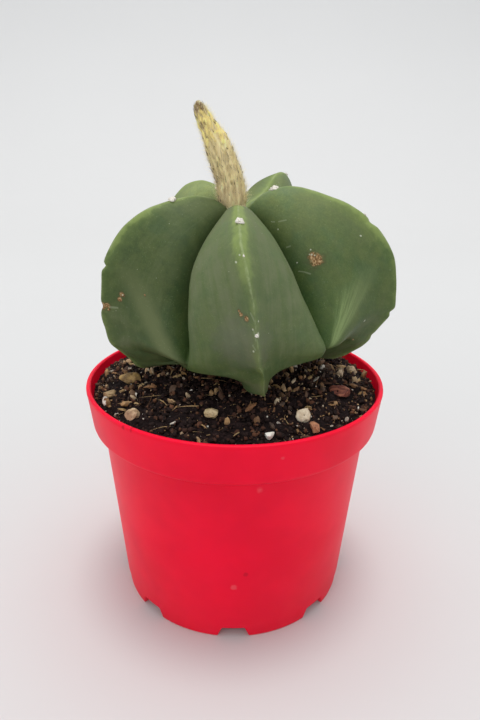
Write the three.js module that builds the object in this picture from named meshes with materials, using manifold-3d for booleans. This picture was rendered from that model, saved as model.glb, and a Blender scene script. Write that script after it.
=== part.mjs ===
// A bishop's cap cactus (five ribs, no spines) in a round plastic nursery pot.
// Millimetres, +Z up. The origin is the middle of the pot's foot, on the surface it stands on.
// Azimuths are in degrees: 0 is the front (-Y), and they grow towards +X.
import * as THREE from 'three';
import { mergeVertices } from 'three/addons/utils/BufferGeometryUtils.js';
import Module from 'manifold-3d';

const wasm = await Module();
wasm.setup();

// ---- Pot ----
const RIM_RADIUS = 45;
const RIM_HEIGHT = 70;
const BAND_BOTTOM = 58;
const BAND_RADIUS = 43.6;
const WALL_TOP_RADIUS = 40.6;
const WALL_FOOT_RADIUS = 35.6;
const WALL = 1.3;
const FLOOR_BOTTOM = 4;
const FLOOR_TOP = 5.4;
const FOOT_OUTER_RADIUS = 35;
const FOOT_INNER_RADIUS = 32.6;
const POT_SIDES = 60;
const FOOT_NOTCHES = 8;
const NOTCH_TOP_WIDTH = 6.8;
const NOTCH_FOOT_WIDTH = 9.8;
const NOTCH_HEIGHT = 3.7;
const NOTCH_AZIMUTH = 0.5;
const DRAIN_RING_RADIUS = 20;
const DRAIN_RADIUS = 3.2;

// ---- Potting mix ----
const CLEARANCE = 0.3;
const MIX_RIM_HEIGHT = 66.8;
const MIX_DOME = 7.6;
const MIX_DOME_RADIUS = 43;
const MIX_SIDES = 48;
const GRAIN_COUNT = 62;

// ---- Cactus ----
const CACTUS_Y = 3;
const NECK_RADIUS = 11;
const NECK_HOLE_RADIUS = 11.45;
const NECK_BOTTOM = 60;
const ROWS = 43;
const HALF_RIB_STEPS = 7;

// ---- Dried flower ----
const FLOWER_BASE_RADIUS = 3.7;
const FLOWER_TIP_RADIUS = 1.5;
const SCALE_COUNT = 54;

// ---------------------------------------------------------------- helpers

// A repeatable stream of numbers between 0 and 1.
function numberStream(seed) {
  let state = seed >>> 0;
  return () => {
    state = (state + 0x6d2b79f5) >>> 0;
    let t = Math.imul(state ^ (state >>> 15), state | 1);
    t = (t + Math.imul(t ^ (t >>> 7), t | 61)) ^ t;
    return ((t ^ (t >>> 14)) >>> 0) / 4294967296;
  };
}

const radians = THREE.MathUtils.degToRad;
const lerp = THREE.MathUtils.lerp;
const clamp = THREE.MathUtils.clamp;

// Keys are rows of numbers whose first entry is the place; a smooth curve that never
// overshoots passes through the others.
function smoothKeys(keys, place) {
  const last = keys.length - 1;
  let k = 0;
  while (k < last - 1 && place > keys[k + 1][0]) k += 1;
  const step = (i) => keys[i + 1][0] - keys[i][0];
  const rise = (i, c) => (keys[i + 1][c] - keys[i][c]) / step(i);
  const slope = (i, c) => {
    if (i === 0) return rise(0, c);
    if (i === last) return rise(last - 1, c);
    const before = rise(i - 1, c);
    const after = rise(i, c);
    if (before * after <= 0) return 0;
    const w1 = 2 * step(i) + step(i - 1);
    const w2 = step(i) + 2 * step(i - 1);
    return (w1 + w2) / (w1 / before + w2 / after);
  };
  const h = step(k);
  const u = (place - keys[k][0]) / h;
  const values = [];
  for (let c = 1; c < keys[k].length; c += 1) {
    values.push(
      (1 + 2 * u) * (1 - u) ** 2 * keys[k][c] + u * (1 - u) ** 2 * h * slope(k, c)
      + u * u * (3 - 2 * u) * keys[k + 1][c] + u * u * (u - 1) * h * slope(k + 1, c),
    );
  }
  return values;
}

// A smooth hump of height 1 around a centre, 0 beyond the reach.
function hump(place, centre, reach) {
  const x = Math.min(Math.abs(place - centre) / reach, 1);
  return (1 - x * x) ** 2;
}

// 0 up to 0, 1 from 1 on, and smooth between.
function ease(value) {
  const x = clamp(value, 0, 1);
  return x * x * (3 - 2 * x);
}

// A closed skin of columns (round) by rows (along), with a fan closing each end.
function closedSkin(columns, rows, pointAt) {
  const positions = [];
  const index = [];
  for (let r = 0; r < rows; r += 1) {
    for (let c = 0; c < columns; c += 1) positions.push(...pointAt(c, r).toArray());
  }
  for (let r = 0; r < rows - 1; r += 1) {
    for (let c = 0; c < columns; c += 1) {
      const d = (c + 1) % columns;
      const a = r * columns;
      const b = a + columns;
      index.push(a + c, b + c, b + d, a + c, b + d, a + d);
    }
  }
  for (const [row, turn] of [[0, 1], [rows - 1, 0]]) {
    const middle = new THREE.Vector3();
    const at = positions.length / 3;
    for (let c = 0; c < columns; c += 1) middle.add(pointAt(c, row).divideScalar(columns));
    positions.push(...middle.toArray());
    for (let c = 0; c < columns; c += 1) {
      const a = row * columns + c;
      const b = row * columns + ((c + 1) % columns);
      index.push(at, turn ? a : b, turn ? b : a);
    }
  }
  const skin = new THREE.BufferGeometry();
  skin.setAttribute('position', new THREE.Float32BufferAttribute(positions, 3));
  skin.setIndex(index);
  return skin;
}

function signedVolume(position, index) {
  const corners = [new THREE.Vector3(), new THREE.Vector3(), new THREE.Vector3()];
  let sum = 0;
  for (let i = 0; i < index.length; i += 3) {
    corners.forEach((corner, k) => corner.fromArray(position, index[i + k] * 3));
    sum += corners[0].dot(corners[1].clone().cross(corners[2])) / 6;
  }
  return sum;
}

// A closed three.js geometry as a solid that can be joined and cut.
function solidOf(geometry) {
  const bare = geometry.clone();
  bare.deleteAttribute('normal');
  bare.deleteAttribute('uv');
  const merged = mergeVertices(bare, 1e-4);
  const position = merged.attributes.position.array;
  const index = [];
  for (let i = 0; i < merged.index.count; i += 3) {
    const [a, b, c] = [0, 1, 2].map((k) => merged.index.getX(i + k));
    if (a !== b && b !== c && c !== a) index.push(a, b, c);
  }
  if (signedVolume(position, index) < 0) index.reverse();
  return new wasm.Manifold(new wasm.Mesh({
    numProp: 3,
    vertProperties: new Float32Array(position),
    triVerts: new Uint32Array(index),
  }));
}

function joined(solids) {
  return solids.reduce((whole, solid) => whole.add(solid));
}

function piece(name, solid, colour, roughness) {
  const mesh = solid.getMesh();
  const geometry = new THREE.BufferGeometry();
  geometry.setAttribute('position', new THREE.Float32BufferAttribute(mesh.vertProperties, 3));
  geometry.setIndex(Array.from(mesh.triVerts));
  geometry.computeVertexNormals();
  const material = new THREE.MeshStandardMaterial({ color: colour, roughness, metalness: 0 });
  const part = new THREE.Mesh(geometry, material);
  part.name = name;
  return part;
}

// A turned solid from (radius, height) pairs that close on themselves or end on the axis.
function turned(pairs, sides) {
  const profile = pairs.map(([r, z]) => new THREE.Vector2(r, z));
  return new THREE.LatheGeometry(profile, sides).rotateX(Math.PI / 2);
}

function along(azimuth, radius, height) {
  return new THREE.Vector3(
    radius * Math.sin(radians(azimuth)),
    -radius * Math.cos(radians(azimuth)),
    height,
  );
}

// A rough pebble: an icosahedron pushed in and out by a seeded rule.
// The extra is added all round, which gives the pocket that the pebble lies in.
function pebble(size, seed, detail, extra = 0) {
  const next = numberStream(seed);
  const waves = [0, 1, 2].map(() => new THREE.Vector3(next() - 0.5, next() - 0.5, next() - 0.5));
  const shape = new THREE.IcosahedronGeometry(1, detail);
  const spots = shape.attributes.position;
  const spot = new THREE.Vector3();
  for (let i = 0; i < spots.count; i += 1) {
    spot.fromBufferAttribute(spots, i);
    const bulge = waves.reduce((sum, wave, k) => sum + 0.14 * Math.sin(spot.dot(wave) * (5 + k) + k), 1);
    spots.setXYZ(
      i,
      spot.x * (size[0] * bulge / 2 + extra),
      spot.y * (size[1] * bulge / 2 + extra),
      spot.z * (size[2] * bulge / 2 + extra),
    );
  }
  return shape;
}

function placed(geometry, position, turn) {
  const pose = new THREE.Matrix4().makeRotationFromEuler(new THREE.Euler(...turn.map(radians)));
  return geometry.applyMatrix4(pose.setPosition(position));
}

// ---------------------------------------------------------------- pot

// What a foot notch takes away: four-sided, and wider towards the table.
function makeNotch(azimuth) {
  const belowWidth = 2 * NOTCH_FOOT_WIDTH - NOTCH_TOP_WIDTH;
  const notch = new THREE.CylinderGeometry(
    NOTCH_TOP_WIDTH * Math.SQRT1_2, belowWidth * Math.SQRT1_2, 2 * NOTCH_HEIGHT, 4,
  );
  notch.rotateY(Math.PI / 4).rotateX(Math.PI / 2);
  return solidOf(placed(notch, along(azimuth, WALL_FOOT_RADIUS, 0), [0, 0, azimuth]));
}

// A thin wall with a stepped rim band, a floor with drain holes, and a notched foot ring.
function makePot() {
  let pot = solidOf(turned([
    [FOOT_INNER_RADIUS, 0],
    [FOOT_OUTER_RADIUS, 0],
    [WALL_FOOT_RADIUS, 1.2],
    [WALL_TOP_RADIUS, BAND_BOTTOM - 1],
    [BAND_RADIUS - 1.4, BAND_BOTTOM - 0.7],
    [BAND_RADIUS - 0.3, BAND_BOTTOM - 0.2],
    [BAND_RADIUS, BAND_BOTTOM + 0.5],
    [RIM_RADIUS - 0.1, RIM_HEIGHT - 1.1],
    [RIM_RADIUS, RIM_HEIGHT - 0.5],
    [RIM_RADIUS - 0.4, RIM_HEIGHT],
    [RIM_RADIUS - 1.1, RIM_HEIGHT],
    [RIM_RADIUS - WALL - 0.1, RIM_HEIGHT - 0.5],
    [BAND_RADIUS - WALL, BAND_BOTTOM + 1],
    [WALL_TOP_RADIUS - WALL, BAND_BOTTOM - 2],
    [WALL_FOOT_RADIUS - WALL + 0.3, FLOOR_TOP],
    [0, FLOOR_TOP],
    [0, FLOOR_BOTTOM],
    [FOOT_INNER_RADIUS + 0.1, FLOOR_BOTTOM],
    [FOOT_INNER_RADIUS, 0],
  ], POT_SIDES));
  for (let i = 0; i < FOOT_NOTCHES; i += 1) {
    const azimuth = NOTCH_AZIMUTH + i * 360 / FOOT_NOTCHES;
    pot = pot.subtract(makeNotch(azimuth));
    const drain = new THREE.CylinderGeometry(DRAIN_RADIUS, DRAIN_RADIUS, 4, 14);
    const drainAt = along(azimuth + 180 / FOOT_NOTCHES, DRAIN_RING_RADIUS, FLOOR_TOP);
    pot = pot.subtract(solidOf(placed(drain, drainAt, [90, 0, 0])));
  }
  return pot;
}

// ---------------------------------------------------------------- cactus

// From the crown (place 0) down over the flank and under to the neck (place 22).
// Each row: place, groove radius, groove height, ridge radius, ridge height,
// bulge of the flank out of the groove, its turn, pinch before the ridge, half width there,
// and how far down the flank each of those two points lies.
const RIB_KEYS = [
  [0, 1.0, 118.6, 1.2, 118.8, 0.2, 0, 0.3, 0.3, 0.3, 0.8],
  [1, 2.4, 118.0, 4.4, 121.2, 1.2, 6, 1.6, 1.6, 0.5, 0.9],
  [2, 4.2, 115.8, 9.0, 124.8, 2.5, 8, 3.2, 3.2, 0.55, 0.9],
  [3, 6.0, 111.6, 14.5, 126.0, 5.0, 8, 5.5, 4.6, 0.6, 0.9],
  [5, 9.8, 104.0, 26.5, 123.6, 12.0, 8, 10.5, 6.2, 0.62, 0.9],
  [7, 13.4, 98.2, 37.6, 116.4, 17.0, 8, 13.0, 6.4, 0.58, 0.88],
  [9, 18.0, 93.0, 43.2, 105.6, 17.5, 10, 12.5, 4.8, 0.5, 0.85],
  [11, 24.6, 87.8, 43.8, 94.4, 13.5, 15, 11.5, 3.0, 0.5, 0.85],
  [13, 29.6, 82.8, 39.8, 85.2, 8.5, 27, 10.0, 2.6, 0.32, 0.6],
  [14, 29.6, 80.9, 36.4, 81.2, 6.5, 36, 8.0, 2.3, 0.1, 0.25],
  [15, 27.0, 79.7, 32.6, 77.8, 5.0, 40, 6.5, 2.2, 0.06, 0.15],
  [16, 22.5, 78.9, 27.8, 76.0, 4.5, 36, 5.5, 2.2, 0.06, 0.15],
  [18, 14.0, 77.2, 17.0, 76.2, 2.4, 50, 2.0, 2.8, 0.4, 0.7],
  [19, NECK_RADIUS + 0.3, 75.2, NECK_RADIUS + 0.5, 75.0, 2.3, 85, 0, 2.4, 0.4, 0.7],
  [20, NECK_RADIUS, 72.0, NECK_RADIUS, 72.0, 2.3, 90, 0, 2.3, 0.4, 0.7],
  [22, NECK_RADIUS, NECK_BOTTOM, NECK_RADIUS, NECK_BOTTOM, 2.3, 90, 0, 2.3, 0.4, 0.7],
];
const LAST_PLACE = RIB_KEYS[RIB_KEYS.length - 1][0];

// Where along a rib its sideways turn is given, and the turn of a rib that runs straight.
const TURN_PLACES = [0, 0.3, 0.42, 0.57, 0.61, 0.76];
const STRAIGHT = [0, 0, 0, 0, 0, 0];

// Each rib: the azimuth of its ridge and of the groove after it, its reach, the ridge's sideways
// turn at six places, humps of its ridge upwards and bulges outwards [size, centre, reach],
// how fat its two flanks are and how far they lean apart in degrees, how far its groove is moved
// out and up where the lower corner lies, the folds under its two flanks [place at the groove,
// climb towards the ridge, share of the way by which it has climbed] and how softly they turn,
// how far the flanks tuck in below them, and how far they sag beside the end of the keel.
const RIBS = [
  {
    azimuth: 6.5, groove: 45.5, reach: 0.985, turn: [-6, -5, -1, 2, 5, 14.5],
    humps: [[-3.4, 0.16, 0.22], [-6.8, 0.67, 0.075], [3, 0.77, 0.055]], bulges: [],
    fat: [1.6, 1.12], splay: [9, 4], corner: [3.6, 3.9],
    folds: [[13.3, 0, 9], [13.7, 0.3, 9]], soft: [0.9, 0.9], tuck: [0.96, 0.93],
    toe: [1.8, 0],
  },
  {
    azimuth: 81, groove: 117, reach: 1.055, turn: STRAIGHT,
    humps: [[0.6, 0.13, 0.1], [0.2, 0.25, 0.3], [-1.6, 0.62, 0.11]],
    bulges: [[1, 0.52, 0.2], [-1.5, 0.57, 0.06]],
    fat: [1, 1], splay: [0, 0], corner: [0, 0],
    folds: [[13.2, 3.2, 9], [13.2, 3.2, 9]], soft: [0.9, 0.9], tuck: [0.75, 0.75],
    toe: [0, 0],
  },
  {
    azimuth: 153, groove: 188.5, reach: 1.02, turn: STRAIGHT,
    humps: [[9, 0.34, 0.2], [3, 0.5, 0.2], [-4, 0.12, 0.12]], bulges: [],
    fat: [1, 1], splay: [0, 0], corner: [0, 0],
    folds: [[13.2, 2.4, 9], [13.2, 2.4, 9]], soft: [0.9, 0.9], tuck: [0.75, 0.75],
    toe: [0, 0],
  },
  {
    azimuth: 225, groove: 260.8, reach: 0.93, turn: STRAIGHT,
    humps: [[0.9, 0.17, 0.12], [-3.5, 0.33, 0.13]], bulges: [],
    fat: [0.9, 0.75], splay: [0, 0], corner: [0, 0],
    folds: [[13.2, 2.4, 9], [13.2, 2.4, 9]], soft: [0.9, 0.9], tuck: [0.75, 0.75],
    toe: [0, 0],
  },
  {
    azimuth: 297.5, groove: 333, reach: 0.94, turn: STRAIGHT,
    humps: [[-1.1, 0.14, 0.16], [-0.9, 0.25, 0.3]],
    bulges: [[0.6, 0.58, 0.16], [4.4, 0.69, 0.11]],
    fat: [1, 1], splay: [0, -6], corner: [-1.5, -1],
    folds: [[13.2, 2.4, 9], [13.1, 4.2, 0.25]], soft: [0.9, 0.5], tuck: [0.75, 0.75],
    toe: [0, 0],
  },
];
// Below its folds a rib narrows to a keel of about this half width, which ends bluntly.
const KEEL = 3;
const KEEL_END = 76;

function ridgeTurn(rib, share) {
  let k = 0;
  while (k < TURN_PLACES.length - 2 && share > TURN_PLACES[k + 1]) k += 1;
  const u = (share - TURN_PLACES[k]) / (TURN_PLACES[k + 1] - TURN_PLACES[k]);
  return lerp(rib.turn[k], rib.turn[k + 1], clamp(u, 0, 1));
}

// The sum of a rib's humps or bulges at a share of its length.
function swellings(list, share) {
  return list.reduce((sum, [size, centre, reach]) => sum + size * hump(share, centre, reach), 0);
}

// A point of the cactus skin. Side is -1 or 1, place runs from crown to neck, and across runs
// from the groove (0) to the ridge (1) along one smooth curve.
function skinPoint(number, side, place, across) {
  const rib = RIBS[number];
  const hand = side < 0 ? 0 : 1;
  const share = place / LAST_PLACE;
  const before = RIBS[(number + RIBS.length - 1) % RIBS.length];
  const groove = side < 0 ? before : rib;
  const grooveAzimuth = groove.groove - (side < 0 && number === 0 ? 360 : 0);
  const half = radians(Math.abs(grooveAzimuth - rib.azimuth));
  const [gr, gz, rr, rz, bulge, turn, pinch, width, fall1, fall2] = smoothKeys(RIB_KEYS, place);
  const corner = hump(share, 0.56, 0.3);
  const grooveRadius = gr + groove.corner[0] * corner;
  const grooveHeight = gz + groove.corner[1] * corner;
  const fat = (rib.fat[hand] - 1) * hump(share, 0.38, 0.36);
  const swell = bulge * (1 + fat);
  const broad = width * (1 + 0.5 * fat);
  const reach = 1 + (rib.reach - 1) * clamp(share / 0.15, 0, 1) * clamp((0.86 - share) / 0.12, 0, 1);
  const ridgeRadius = rr * reach + swellings(rib.bulges, share);
  const drop = rz + swellings(rib.humps, share) - grooveHeight;
  const lean = half - radians(turn - rib.splay[hand] * hump(share, 0.42, 0.4));
  const start = [grooveRadius * Math.cos(half), grooveRadius * Math.sin(half), grooveHeight];
  const points = [
    start,
    [start[0] + swell * Math.cos(lean), start[1] + swell * Math.sin(lean), start[2] + fall1 * drop],
    [ridgeRadius - pinch, broad, start[2] + fall2 * drop],
    [ridgeRadius, 0, start[2] + drop],
  ];
  const s = across;
  const weights = [(1 - s) ** 3, 3 * (1 - s) ** 2 * s, 3 * (1 - s) * s * s, s ** 3];
  const [x, y, z] = [0, 1, 2].map((c) => points.reduce((sum, p, i) => sum + weights[i] * p[c], 0));
  const [foldStart, climb, until] = rib.folds[hand];
  const risen = climb * until * Math.tanh(across / until);
  const below = (place - foldStart + risen) / (0.7 + rib.soft[hand] * risen);
  const tuck = rib.tuck[hand] * ease(below) * ease((17.5 - place) / 2.5) * ease(across / 0.16);
  const inward = y * (1 - tuck) + tuck * KEEL * Math.tanh(y / KEEL);
  const toe = rib.toe[hand] * hump(share, 0.665, 0.07) * hump(across, 0.72, 0.26);
  const lowest = KEEL_END - 17 * ease((place - 16.5) / 1.5);
  const azimuth = rib.azimuth + ridgeTurn(rib, share) * s
    + side * THREE.MathUtils.radToDeg(Math.atan2(inward, x));
  return along(azimuth, Math.hypot(x, inward), Math.max(z - toe, lowest))
    .add(new THREE.Vector3(0, CACTUS_Y, 0));
}

// The woolly cushions on the ridges: rib, place on it and size.
const CUSHIONS = [
  [0, 5.15, 1.3], [0, 10.6, 0.7], [1, 2.2, 1.6], [2, 2.4, 1.1], [2, 6.4, 0.8], [3, 1.9, 1.1],
  [3, 6.2, 0.9], [4, 4.1, 1.2],
];

// The places of the skin's rows, which lie closest where the flanks fold.
function rowPlaces() {
  const places = Array.from({ length: 401 }, (_, i) => LAST_PLACE * i / 400);
  const crowding = (place) => 1 + 1.9 * hump(place, 13, 3) - (place > 18.5 ? 0.5 : 0);
  const reached = [0];
  places.slice(1).forEach((place) => reached.push(reached.at(-1) + crowding(place)));
  return Array.from({ length: ROWS }, (_, row) => {
    const wanted = reached.at(-1) * row / (ROWS - 1);
    const next = Math.max(1, reached.findIndex((value) => value >= wanted - 1e-9));
    const share = (wanted - reached[next - 1]) / (reached[next] - reached[next - 1]);
    return lerp(places[next - 1], places[next], share);
  });
}

function makeCactus(socket) {
  const rows = rowPlaces();
  const stepsRound = RIBS.length * 2 * HALF_RIB_STEPS;
  const skin = closedSkin(stepsRound, ROWS, (column, row) => {
    const number = Math.floor(column / (2 * HALF_RIB_STEPS));
    const step = column % (2 * HALF_RIB_STEPS);
    const side = step < HALF_RIB_STEPS ? -1 : 1;
    const across = side < 0 ? step / HALF_RIB_STEPS : 2 - step / HALF_RIB_STEPS;
    return skinPoint(number, side, rows[row], across);
  });
  const cushions = CUSHIONS.map(([number, place, size], i) => {
    const at = skinPoint(number, 1, place, 1);
    return solidOf(placed(pebble([size * 1.3, size * 1.3, size], 40 + i, 0), at, [0, 0, 36 * i]));
  });
  return joined([solidOf(skin), ...cushions]).subtract(socket);
}

// ---------------------------------------------------------------- dried flower

// The withered tube leans to the left as it rises out of the crown.
const FLOWER_LINE = new THREE.CatmullRomCurve3([
  [-0.6, 117.7], [-0.9, 119.6], [-1.4, 122.4], [-2.6, 127.8],
  [-4.3, 133.2], [-6.2, 138.4], [-7.9, 142.2], [-9.5, 145.9],
].map(([x, z]) => new THREE.Vector3(x, CACTUS_Y, z)));

// A direction across the flower's line, at an angle round it.
function acrossFlower(share, angle) {
  const forward = FLOWER_LINE.getTangentAt(clamp(share, 0, 1));
  const back = new THREE.Vector3(0, 1, 0);
  const right = new THREE.Vector3().crossVectors(forward, back).normalize();
  return right.multiplyScalar(Math.cos(angle)).addScaledVector(back, Math.sin(angle));
}

function flowerRadius(share) {
  return smoothKeys([
    [0, 2.2], [0.07, 3.2], [0.16, FLOWER_BASE_RADIUS], [0.55, 3.1], [0.8, 2.4], [1, FLOWER_TIP_RADIUS],
  ], share)[0];
}

function flowerTube(sides, rows, extra, from, to) {
  return solidOf(closedSkin(sides, rows, (column, row) => {
    const share = lerp(from, to, row / (rows - 1));
    const out = acrossFlower(share, 2 * Math.PI * column / sides);
    return FLOWER_LINE.getPointAt(share).addScaledVector(out, flowerRadius(share) + extra);
  }));
}

// A flat, pointed blade: a slim four-sided cone, widest where it leaves the tube.
function blade(length, width, thickness) {
  return new THREE.ConeGeometry(1, length, 4).scale(width / 2, 1, thickness / 2)
    .translate(0, length / 2, 0);
}

function laidBlade(shape, root, direction, outward) {
  const up = direction.clone().normalize();
  const side = new THREE.Vector3().crossVectors(up, outward).normalize();
  const face = new THREE.Vector3().crossVectors(side, up);
  return solidOf(shape.applyMatrix4(new THREE.Matrix4().makeBasis(side, up, face).setPosition(root)));
}

function makeFlower() {
  const next = numberStream(71);
  const parts = [flowerTube(12, 15, 0, 0, 1)];
  for (let i = 0; i < SCALE_COUNT; i += 1) {
    const share = lerp(0.26, 0.95, (i + next() * 0.6) / SCALE_COUNT);
    const angle = i * 2.39996 + next() * 0.5;
    const outward = acrossFlower(share, angle);
    const upward = FLOWER_LINE.getTangentAt(share);
    const root = FLOWER_LINE.getPointAt(share).addScaledVector(outward, flowerRadius(share) - 0.55);
    const direction = upward.clone().addScaledVector(outward, 0.17 + 0.12 * next());
    const length = lerp(4.6, 5.8, next());
    parts.push(laidBlade(blade(length, 2.1 + 0.5 * next(), 1.5), root, direction, outward));
  }
  for (let i = 0; i < 9; i += 1) {
    const outward = acrossFlower(1, i * 2.39996);
    const upward = FLOWER_LINE.getTangentAt(1);
    const root = FLOWER_LINE.getPointAt(0.94).addScaledVector(outward, 0.6);
    const direction = upward.clone().addScaledVector(outward, 0.04 + 0.12 * next());
    parts.push(laidBlade(blade(lerp(4.5, 5.8, next()), 2.2, 1.4), root, direction, outward));
  }
  return joined(parts);
}

// ---------------------------------------------------------------- potting mix

function mixHeight(x, y) {
  const radius = Math.hypot(x, y);
  const dome = MIX_RIM_HEIGHT + MIX_DOME * (1 - (radius / MIX_DOME_RADIUS) ** 3);
  const lumps = Math.sin(0.62 * x + 1.3) * Math.cos(0.55 * y)
    + 0.7 * Math.sin(0.93 * x - 0.81 * y) + 0.5 * Math.cos(1.31 * y + 0.47 * x);
  return dome + 0.32 * lumps * clamp((MIX_DOME_RADIUS - radius) / 4, 0.3, 1);
}

// Stones and chips that lie loose in the top: name, x, y, size, turn, colour and seed.
const STONES = [
  ['stone_pumice_round', 18.1, -29.6, [4.2, 4.0, 3.4], [0, 0, 20], '#c9b9a0', 11, 1],
  ['chip_perlite_white', 9.0, -37.6, [2.6, 2.4, 2.2], [10, 15, 30], '#e9e2d6', 12, 0],
  ['chip_brick_orange', 20.9, -32.4, [4.6, 2.8, 2.6], [0, 25, -40], '#b8754e', 13, 0],
  ['chip_bark_red', 30.4, -14.6, [7.2, 4.0, 2.6], [0, -8, -38], '#7a4033', 14, 1],
  ['stone_pink', -27.5, -26.4, [4.4, 3.6, 3.0], [0, 0, 40], '#c49f82', 15, 1],
  ['stone_tan_left', -36.2, -13.4, [4.4, 3.6, 2.6], [0, 0, 10], '#b09878', 16, 1],
  ['stone_tan_long', -31.4, -8.0, [7.4, 3.4, 2.6], [0, -14, 32], '#a5906c', 17, 1],
  ['stone_grey_front', -5.9, -31.0, [3.8, 2.8, 2.4], [0, 0, 15], '#b5a58b', 18, 1],
  ['stone_tan_right', 37.0, 5.5, [4.0, 3.4, 2.6], [0, 0, 70], '#b39a78', 19, 1],
];

function stoneShape([, x, y, size, turn, , seed, detail], extra) {
  const at = new THREE.Vector3(x, y, mixHeight(x, y) + size[2] * 0.12);
  return solidOf(placed(pebble(size, seed, detail, extra), at, turn));
}

function makeMix() {
  const wallGap = CLEARANCE + 0.1;
  const rings = 12;
  const outerRadius = RIM_RADIUS - WALL - 0.35 - wallGap;
  const side = [
    [outerRadius - 0.9, BAND_BOTTOM + 1.2],
    [WALL_TOP_RADIUS - WALL - wallGap, BAND_BOTTOM - 2.3],
    [WALL_FOOT_RADIUS - WALL - wallGap + 0.3, FLOOR_TOP + CLEARANCE],
  ];
  const body = closedSkin(MIX_SIDES, rings + side.length, (column, row) => {
    const azimuth = 360 * column / MIX_SIDES;
    if (row < rings) {
      const radius = outerRadius * ((row + 1) / rings) ** 0.8;
      const spot = along(azimuth, radius, 0);
      return spot.setZ(mixHeight(spot.x, spot.y));
    }
    return along(azimuth, ...side[row - rings]);
  });
  const next = numberStream(5);
  const grains = [];
  while (grains.length < GRAIN_COUNT) {
    const radius = lerp(16, 40.5, Math.sqrt(next()));
    const spot = along(next() * 360, radius, 0);
    const size = lerp(1.9, 3.9, next() ** 1.7);
    const clear = STONES.every(([, x, y, [length]]) => {
      return Math.hypot(x - spot.x, y - spot.y) > length / 2 + size / 2 + 0.8;
    });
    if (clear) {
      spot.setZ(mixHeight(spot.x, spot.y) + 0.05 * size);
      const shape = pebble([size, size * lerp(0.6, 1, next()), size * 0.75], 90 + grains.length, 0);
      grains.push(solidOf(placed(shape, spot, [40 * next(), 40 * next(), 360 * next()])));
    }
  }
  const hole = solidOf(turned([
    [0, NECK_BOTTOM - 0.4],
    [NECK_HOLE_RADIUS, NECK_BOTTOM - 0.4],
    [NECK_HOLE_RADIUS, 73.6],
    [NECK_HOLE_RADIUS + 1.2, 75],
    [NECK_HOLE_RADIUS + 1.2, 80],
    [0, 80],
  ], 36)).translate([0, CACTUS_Y, 0]);
  const pockets = STONES.map((stone) => stoneShape(stone, CLEARANCE));
  return joined([solidOf(body), ...grains]).subtract(hole).subtract(joined(pockets));
}

// ---------------------------------------------------------------- the whole object

// The withered tube stands in the crown's hollow, with a little room all round.
const socket = joined([
  flowerTube(14, 6, 0.4, 0, 0.2).translate([0, 0, -0.4]),
  flowerTube(14, 6, 1.1, 0.17, 0.5),
]);

const cactus = new THREE.Group();
cactus.name = 'potted_bishops_cap_cactus';
cactus.add(piece('pot', makePot(), '#de1932', 0.42));
cactus.add(piece('potting_mix', makeMix(), '#2b2120', 0.95));
cactus.add(piece('cactus_body', makeCactus(socket), '#5c7650', 0.6));
cactus.add(piece('dried_flower', makeFlower(), '#b39a6b', 0.9));
for (const stone of STONES) cactus.add(piece(stone[0], stoneShape(stone, 0), stone[5], 0.85));

export default cactus;
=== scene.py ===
"""A bishop's cap cactus with a withered flower, growing in gritty mix in a red plastic pot."""
import math
import random
from contextlib import contextmanager
from functools import reduce

import bpy
import numpy as np
from bpy.props import FloatProperty, FloatVectorProperty, IntProperty, PointerProperty
from mathutils import Euler, Matrix, Vector, noise


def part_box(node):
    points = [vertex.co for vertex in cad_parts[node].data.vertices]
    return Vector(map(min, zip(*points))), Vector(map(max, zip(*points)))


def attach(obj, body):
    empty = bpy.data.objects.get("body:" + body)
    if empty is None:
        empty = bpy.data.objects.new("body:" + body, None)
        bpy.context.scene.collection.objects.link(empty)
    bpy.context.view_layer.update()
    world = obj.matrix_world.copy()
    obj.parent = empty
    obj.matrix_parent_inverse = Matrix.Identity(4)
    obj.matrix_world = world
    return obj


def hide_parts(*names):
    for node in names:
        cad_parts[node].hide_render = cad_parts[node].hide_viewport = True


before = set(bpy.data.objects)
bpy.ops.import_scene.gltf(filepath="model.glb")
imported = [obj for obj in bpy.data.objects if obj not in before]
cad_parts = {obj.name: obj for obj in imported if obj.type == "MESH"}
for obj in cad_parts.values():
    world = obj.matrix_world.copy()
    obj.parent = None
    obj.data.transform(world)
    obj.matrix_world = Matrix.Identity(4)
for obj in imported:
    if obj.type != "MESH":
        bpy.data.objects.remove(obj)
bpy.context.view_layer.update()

bl_info = {
    "name": "Potted bishop's cap cactus",
    "version": (1, 0, 0),
    "blender": (4, 5, 0),
    "location": "3D View > Sidebar > Cactus",
    "description": "Models a spineless star cactus with a dried flower in a plastic pot",
    "category": "Add Mesh",
}

MM = 0.001
BODY = "root"
WELD = 1e-7
STONE_NODES = [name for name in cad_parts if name.startswith(("stone_", "chip_"))]

# ---------------------------------------------------------------- forms, in millimetres

RIM_RADIUS = 45.0
RIM_HEIGHT = 70.0
WALL = 1.3
BAND_BOTTOM = 58.0
BAND_RADIUS = 43.6
WALL_TOP_RADIUS = 40.6
WALL_FOOT_RADIUS = 35.6
FLOOR_TOP = 5.4
FLOOR_BOTTOM = 4.0
FOOT_OUTER_RADIUS = 35.0
FOOT_INNER_RADIUS = 32.6
FOOT_NOTCHES = 8
NOTCH_AZIMUTH = 0.5
NOTCH_HEIGHT = 3.7
NOTCH_WIDTH = 9.8
NOTCH_FOOT, NOTCH_TOP = 1.31, 0.69
DRAIN_RING = 20.0
DRAIN_RADIUS = 3.2
MIX_RADIUS = 42.9
MIX_RIM_HEIGHT = 66.8
MIX_DOME = 7.6
MIX_DOME_RADIUS = 43.0
CACTUS_Y = 3.0
NECK_HOLE_RADIUS = 11.5
NECK_BOTTOM = 60.0
BODY_CENTRE = 98

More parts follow.
